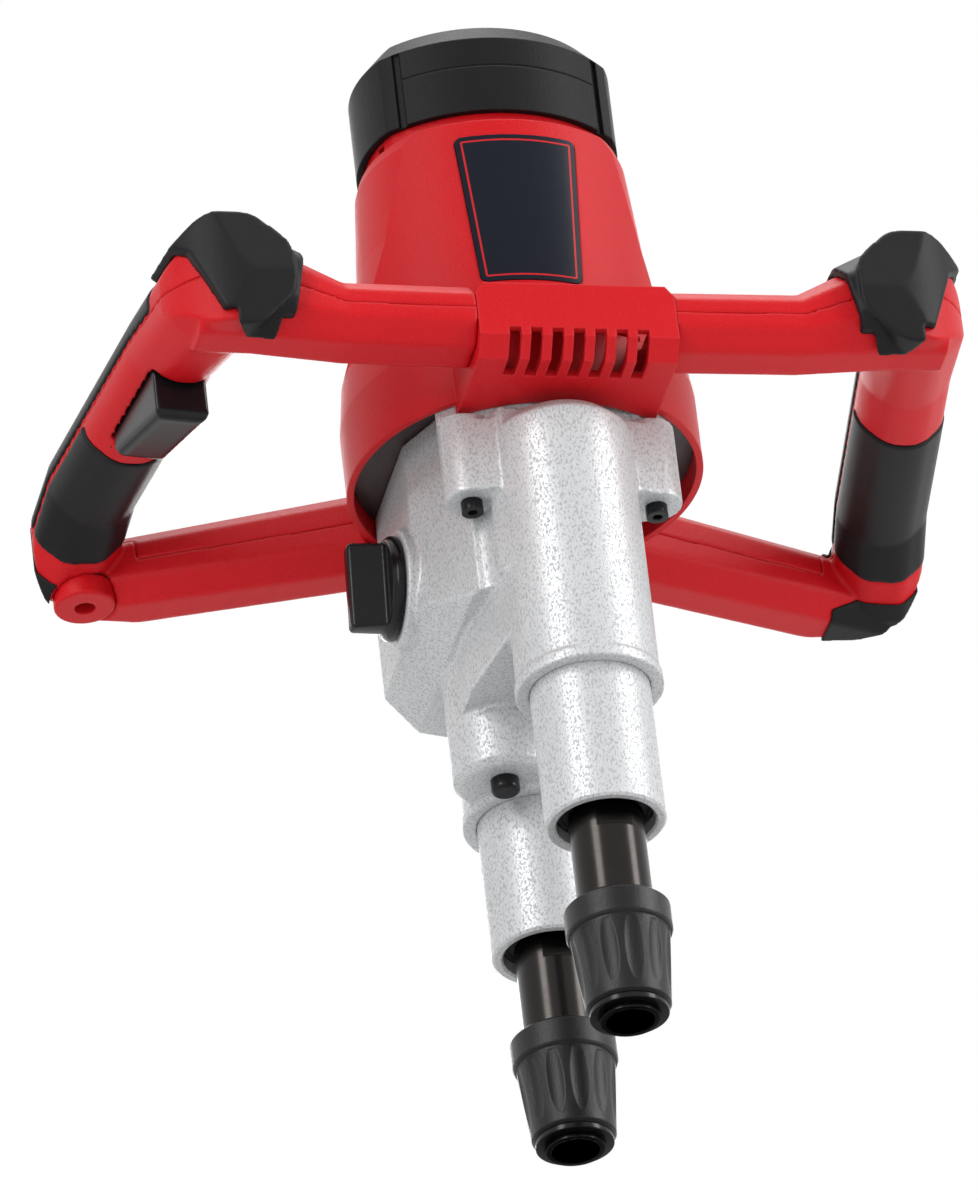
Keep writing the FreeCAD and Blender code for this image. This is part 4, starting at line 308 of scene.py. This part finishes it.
def polished_black(name, colour, roughness):
    finish = Finish(name, colour, roughness, **{"Specular IOR Level": 0.22})
    haze = finish.noise(60.0, 3.0)
    speck = finish.noise(900.0, 2.0)
    rounded = finish.rounded(0.0008)
    # Edges are lightened towards grey as a painted highlight; the haze is random tone.
    edge_highlight = finish.edge_of(rounded)
    finish.feed("Base Color", finish.mixed(edge_highlight * 0.5 + haze * 0.15, colour, (0.024, 0.024, 0.025)))
    finish.feed("Roughness", roughness - 0.05 + haze * 0.12)
    finish.bump(speck, 0.00005, 0.4, rounded)
    return finish.material


gloss_black = polished_black("gloss_black", (0.005, 0.005, 0.006), 0.18)
black_steel = polished_black("black_steel", (0.005, 0.005, 0.006), 0.20)
print("finishes:", *(made.name for made in (black_cover, soft_grip, sleeve_black, gloss_black, black_steel)))

# %% [markdown]
# ## Silver casting paint
# The gear case is die-cast aluminium under a silver paint that crawls as it dries, so it shows short dark
# worm-like pits all over. A metallic shader alone gives a clean machined look. The pits come from a stretched
# noise that is cut at a level, and they darken the colour, roughen it and sink in the bump together.

# %% Silver casting
def crawled_silver(name, colour, pit_colour, pit_share):
    finish = Finish(name, colour, 0.38, 0.25)
    worms = finish.noise(1150.0, 2.5, 0.55, (1.0, 1.0, 0.6), (0.5, 0.3, 0.4))
    fine = finish.noise(2600.0, 2.0)
    drift = finish.noise(14.0, 2.0)
    pits = worms.above(1 - pit_share, 0.08)
    grit = fine.above(0.56, 0.10)
    rounded = finish.rounded(0.0006)
    dull_colour = [v * 0.82 for v in colour]
    shaded = finish.mixed((drift * 0.4 + grit * 0.6).limited(), colour, dull_colour)
    finish.feed("Base Color", finish.mixed(pits * 0.55, shaded, pit_colour))
    finish.feed("Roughness", 0.30 + fine * 0.10 + pits * 0.2)
    finish.bump(worms * 0.8 + fine * 0.3 - pits * 0.4, 0.00028, 0.5, rounded)
    return finish.material


silver_casting = crawled_silver("silver_casting", (0.61, 0.625, 0.635), (0.22, 0.23, 0.24), 0.44)
# Painted shade: a near-black casting colour for the motor flange, which sits in shade under the skirt.
painted_shade_casting = crawled_silver("painted_shade_casting", (0.05, 0.03, 0.03), (0.025, 0.018, 0.018), 0.40)
print("finishes:", silver_casting.name, painted_shade_casting.name)

# %% [markdown]
# ## Steels and copper
# The spindles are ground and oiled, so they are dark and mirror-like with fine rings left by the wheel. Gears
# and bearings are brighter, springs brighter still, and the windings are lacquered copper. Rings come from a
# noise that is stretched flat, so that it changes along the spindle and hardly around it.

# %% Ground, machined and wound metal
def turned_metal(name, colour, roughness, ring_scale, ring_depth):
    finish = Finish(name, colour, roughness, 1.0)
    rings = finish.noise(ring_scale, 2.0, 0.5, (0.02, 0.02, 1.0))
    haze = finish.noise(45.0, 3.0)
    rounded = finish.rounded(0.0006)
    edge_highlight = finish.edge_of(rounded)
    dark_colour = [v * 0.62 for v in colour]
    # Edges are mixed towards a brighter copy of the colour: a painted highlight.
    highlight_colour = [min(1, v * 1.6) for v in colour]
    worn = finish.mixed(rings * 0.5 + haze * 0.3, colour, dark_colour)
    finish.feed("Base Color", finish.mixed(edge_highlight * 0.6, worn, highlight_colour))
    finish.feed("Roughness", roughness - 0.05 + rings * 0.08 + haze * 0.10)
    finish.bump(rings, ring_depth, 0.35, rounded)
    return finish.material


polished_steel = turned_metal("polished_steel", (0.036, 0.033, 0.031), 0.17, 700.0, 0.00006)
gear_steel = turned_metal("gear_steel", (0.50, 0.50, 0.52), 0.30, 900.0, 0.00008)
spring_steel = turned_metal("spring_steel", (0.60, 0.60, 0.62), 0.22, 1200.0, 0.00004)
copper = turned_metal("copper", (0.60, 0.27, 0.13), 0.34, 1400.0, 0.00012)
print("finishes:", polished_steel.name, gear_steel.name, spring_steel.name, copper.name)

# %% [markdown]
# ## Finishes on the solids
# The imported record names a slot for each node. The same names are used here, so one loop can hand every solid
# its finish. A few nodes differ from their slot's own look: the motor flange sits in the dark under the skirt, so
# it gets a near-black casting colour as painted shade, and the coupling sleeves are grained where the other black
# steel is polished.

# %% Give every node its finish
finishes = {
    "red_shell": red_shell, "black_cover": black_cover, "soft_grip": soft_grip, "gloss_black": gloss_black,
    "label": gloss_black, "silver_casting": silver_casting, "polished_steel": polished_steel,
    "gear_steel": gear_steel, "spring_steel": spring_steel, "black_steel": black_steel, "copper": copper,
}
slot_of = {row["node"]: row["material_slot"] for row in frame["record"]["subparts"]}


def finish_with(piece, material):
    piece.data.materials.clear()
    piece.data.materials.append(material)


own_finish = {
    "motor_flange": painted_shade_casting, "front_coupling_sleeve": sleeve_black, "rear_coupling_sleeve": sleeve_black,
}
for name, node in nodes.items():
    finish_with(node, own_finish.get(name, finishes[slot_of[name]]))
print("finished nodes:", len(nodes))

# %% [markdown]
# ## Rounding what the mould rounds
# A casting or moulding has no sharp outside corner: the tool is radiused so that metal or plastic can flow.
# The solids have flat facets that meet at edges. A Bevel modifier would round them, but it trips over the
# many thin triangles. So a copy of the solid is welded, remade in small even faces and then smoothed, which
# rounds every corner by about the same amount, inside and out.

# %% Moulded copies of solids
def only(piece):
    bpy.ops.object.select_all(action="DESELECT")
    piece.select_set(True)
    bpy.context.view_layer.objects.active = piece


def apply_modifier(piece, kind, **settings):
    modifier = piece.modifiers.new(kind.lower(), kind)
    for key, value in settings.items():
        setattr(modifier, key, value)
    bpy.ops.object.modifier_apply(modifier=modifier.name)


def softened(node, grid, passes, share=1.0, seam_with=None):
    source = nodes[node]
    piece = bpy.data.objects.new(node + "_moulded", source.data.copy())
    bpy.context.scene.collection.objects.link(piece)
    only(piece)
    apply_modifier(piece, "WELD", merge_threshold=0.00002)
    apply_modifier(piece, "REMESH", mode="VOXEL", voxel_size=grid)
    group = ""
    if seam_with:
        group = "away_from_seam"
        piece.vertex_groups.new(name=group).add(range(len(piece.data.vertices)), 1.0, "REPLACE")
        apply_modifier(
            piece, "VERTEX_WEIGHT_PROXIMITY", vertex_group=group, target=nodes[seam_with],
            proximity_mode="GEOMETRY", proximity_geometry={"FACE"}, min_dist=grid * 0.6, max_dist=grid * 3,
        )
    apply_modifier(piece, "SMOOTH", factor=0.5, iterations=passes, vertex_group=group)
    if share < 1:
        apply_modifier(piece, "DECIMATE", ratio=share)
    bpy.ops.object.shade_smooth()
    finish_with(piece, finishes[slot_of[node]])
    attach(piece, source["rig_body"])
    print(piece.name, "faces:", len(piece.data.polygons))
    return piece


# %% Casting and handles
moulded_copies = {
    "gear_case": softened("gear_case", 0.0008, 4, 0.35),
    "plain_handle_upper": softened("plain_handle_upper", 0.0009, 6, 0.45, "plain_handle_lower"),
    "plain_handle_lower": softened("plain_handle_lower", 0.0009, 6, 0.45, "plain_handle_upper"),
    "switch_handle_upper": softened("switch_handle_upper", 0.0009, 6, 0.45, "switch_handle_lower"),
    "switch_handle_lower": softened("switch_handle_lower", 0.0009, 6, 0.45, "switch_handle_upper"),
    "front_bumpers": softened("front_bumpers", 0.0007, 6, 0.6),
    "rear_bumpers": softened("rear_bumpers", 0.0006, 3, 0.6),
    "plain_grip_pads": softened("plain_grip_pads", 0.0007, 5, 0.6),
    "switch_grip_pads": softened("switch_grip_pads", 0.0007, 5, 0.6),
    "trigger": softened("trigger", 0.0006, 20, 0.6),
    "selector_knob": softened("selector_knob", 0.0006, 5),
}
for name, piece in moulded_copies.items():
    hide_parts(name)
print("moulded copies:", len(moulded_copies))

# %% [markdown]
# ## The label
# A navy film with a thin red frame line fills a sunk panel on the bowed front of the motor housing. It could be
# one plane with a picture on it. Modelling the line as its own ring of faces keeps it sharp at any distance, so a
# grid is shaped into the panel's outline, its corners are rounded, two insets leave the ring between them, and
# the whole film is bent round the housing's front arc.

# %% Label film with its frame line
label_low, label_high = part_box("label_plate")
label_front = label_low.y
film_navy = Finish("label_navy", (0.008, 0.010, 0.017), 0.30, **{"Specular IOR Level": 0.10})
film_dust = film_navy.noise(700.0, 2.0)
film_navy.feed("Roughness", 0.26 + film_dust * 0.12)
film_navy.feed("Base Color", film_navy.mixed(film_dust * 0.5, (0.007, 0.009, 0.016), (0.011, 0.013, 0.021)))
film_red = Finish("label_red", (0.55, 0.02, 0.025), 0.30, **{"Specular IOR Level": 0.10})
film_ink = film_red.noise(900.0, 2.0)
film_red.feed("Roughness", 0.26 + film_ink * 0.12)
film_red.feed("Base Color", film_red.mixed(film_ink * 0.5, (0.50, 0.018, 0.022), (0.60, 0.03, 0.035)))

bpy.ops.object.select_all(action="DESELECT")
bpy.ops.mesh.primitive_grid_add(x_subdivisions=8, y_subdivisions=1, size=2, rotation=(math.pi / 2, 0, 0))
label = bpy.context.object
label.name = "label_film"
bpy.ops.object.transform_apply(location=True, rotation=True, scale=True)
label.data.materials.append(film_navy.material)
label.data.materials.append(film_red.material)
low_half = 0.0215
film_thick = 0.0009
arc_middle = 0.0805
corner_radius = 0.003
corner_steps = 6
border_width = 0.0021
line_width = 0.0008
smooth_below = math.radians(30)
bpy.ops.object.mode_set(mode="EDIT")
bpy.ops.mesh.select_mode(type="VERT")
bpy.ops.mesh.select_all(action="DESELECT")
bpy.ops.object.mode_set(mode="OBJECT")
for vertex in label.data.vertices:
    share, high = vertex.co.x, vertex.co.z > 0
    half = label_high.x if high else low_half
    vertex.co = (share * half, label_front + film_thick, label_high.z if high else label_low.z)
    at_corner = abs(share) > 0.99
    vertex.select = at_corner
bpy.ops.object.mode_set(mode="EDIT")
bpy.ops.mesh.bevel(offset=corner_radius, segments=corner_steps, affect="VERTICES")
bpy.ops.mesh.select_all(action="SELECT")
bpy.ops.mesh.extrude_region_move(TRANSFORM_OT_translate={"value": (0, -film_thick, 0)})
for inset_width, material_index in ((border_width, 1), (line_width, 0)):
    bpy.ops.mesh.inset(thickness=inset_width, depth=0)
    label.active_material_index = material_index
    bpy.ops.object.material_slot_assign()
bpy.ops.object.mode_set(mode="OBJECT")
for vertex in label.data.vertices:
    reach = arc_middle - vertex.co.y
    vertex.co.y = arc_middle - math.sqrt(reach ** 2 - vertex.co.x ** 2)
bpy.ops.object.shade_smooth_by_angle(angle=smooth_below)
print("label faces:", len(label.data.polygons), "front at", round(label_front, 4))
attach(label, "frame")
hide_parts("label_plate")

# %% [markdown]
# ## Floor and light
# The photograph is cut out on white, so the world is white to the camera and a softer grey as a lamp. The tool
# stands over a pale floor, and because the photograph looks up from below it, the floor is one-sided: seen
# from underneath it is clear. Two tall soft boxes stand left and right of the view, high enough for upright
# steel to mirror them as streaks, and weaker ones hang above and behind.

# %% Floor
floor_size = 14
floor_middle = (0, 0.05, -0.001)
bpy.ops.object.select_all(action="DESELECT")
bpy.ops.mesh.primitive_plane_add(size=floor_size, location=floor_middle)
floor = bpy.context.object
floor.name = "studio_floor"
floor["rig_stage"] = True
floor_finish = Finish("studio_floor", (0.86, 0.86, 0.86), 0.9)
under = floor_finish.node("ShaderNodeNewGeometry", {}, {}, "Backfacing")
shadow_ray = floor_finish.node("ShaderNodeLightPath", {}, {}, "Is Shadow Ray")
clear = floor_finish.node("ShaderNodeBsdfTransparent", {}, {}, "BSDF")
shown = floor_finish.node(
    "ShaderNodeMixShader", {},
    {0: (under + shadow_ray).limited(), 1: Signal(floor_finish, floor_finish.shader.outputs[0]), 2: clear},
)
floor_finish.tree.links.new(shown.socket, floor_finish.tree.nodes["Material Output"].inputs["Surface"])
finish_with(floor, floor_finish.material)
print("floor ready")

# %% World and soft boxes
world = bpy.data.worlds.new("studio_white")
world.use_nodes = True
bpy.context.scene.world = world
world_nodes = world.node_tree.nodes
world_links = world.node_tree.links
lamp_level = 0.34
seen_level = 1.0
rays = world_nodes.new("ShaderNodeLightPath")
seen = world_nodes.new("ShaderNodeMath")
seen.operation = "MAXIMUM"
seen_or_through = world_nodes.new("ShaderNodeMath")
seen_or_through.operation = "MAXIMUM"
world_links.new(rays.outputs["Is Camera Ray"], seen.inputs[0])
world_links.new(rays.outputs["Is Glossy Ray"], seen.inputs[1])
world_links.new(seen.outputs[0], seen_or_through.inputs[0])
world_links.new(rays.outputs["Is Transmission Ray"], seen_or_through.inputs[1])
level = world_nodes.new("ShaderNodeMapRange")
level.inputs["To Min"].default_value = lamp_level
level.inputs["To Max"].default_value = seen_level
world_links.new(seen_or_through.outputs[0], level.inputs["Value"])
world_nodes["Background"].inputs["Color"].default_value = (1, 1, 1, 1)
world_links.new(level.outputs[0], world_nodes["Background"].inputs["Strength"])


lit_point = Vector((0, 0.06, 0.28))


def soft_box(name, place, size, power):
    lamp_data = bpy.data.lights.new(name, "AREA")
    lamp_data.shape = "RECTANGLE"
    lamp_data.size, lamp_data.size_y = size
    lamp_data.energy = power
    lamp = bpy.data.objects.new(name, lamp_data)
    bpy.context.scene.collection.objects.link(lamp)
    lamp.location = place
    lamp.rotation_euler = (Vector(place) - lit_point).to_track_quat("Z", "Y").to_euler()
    return lamp


soft_boxes = [
    soft_box("left_box", (-1.9, -1.5, 1.0), (0.7, 2.2), 38),
    soft_box("right_box", (1.9, -1.1, 1.0), (0.7, 2.2), 40),
    soft_box("top_box", (0.1, 0.1, 2.2), (1.4, 1.0), 16),
    soft_box("rear_box", (0.4, 2.0, 1.2), (1.2, 1.0), 12),
]
print("soft boxes:", len(soft_boxes))

# %% [markdown]
# ## Sizes and the finish line
# The box of the dressed machine is measured over every part that renders, leaving out the floor. The dressed
# machine must stay inside the box of its solids.

# %% Measure the dressed machine
low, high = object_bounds()
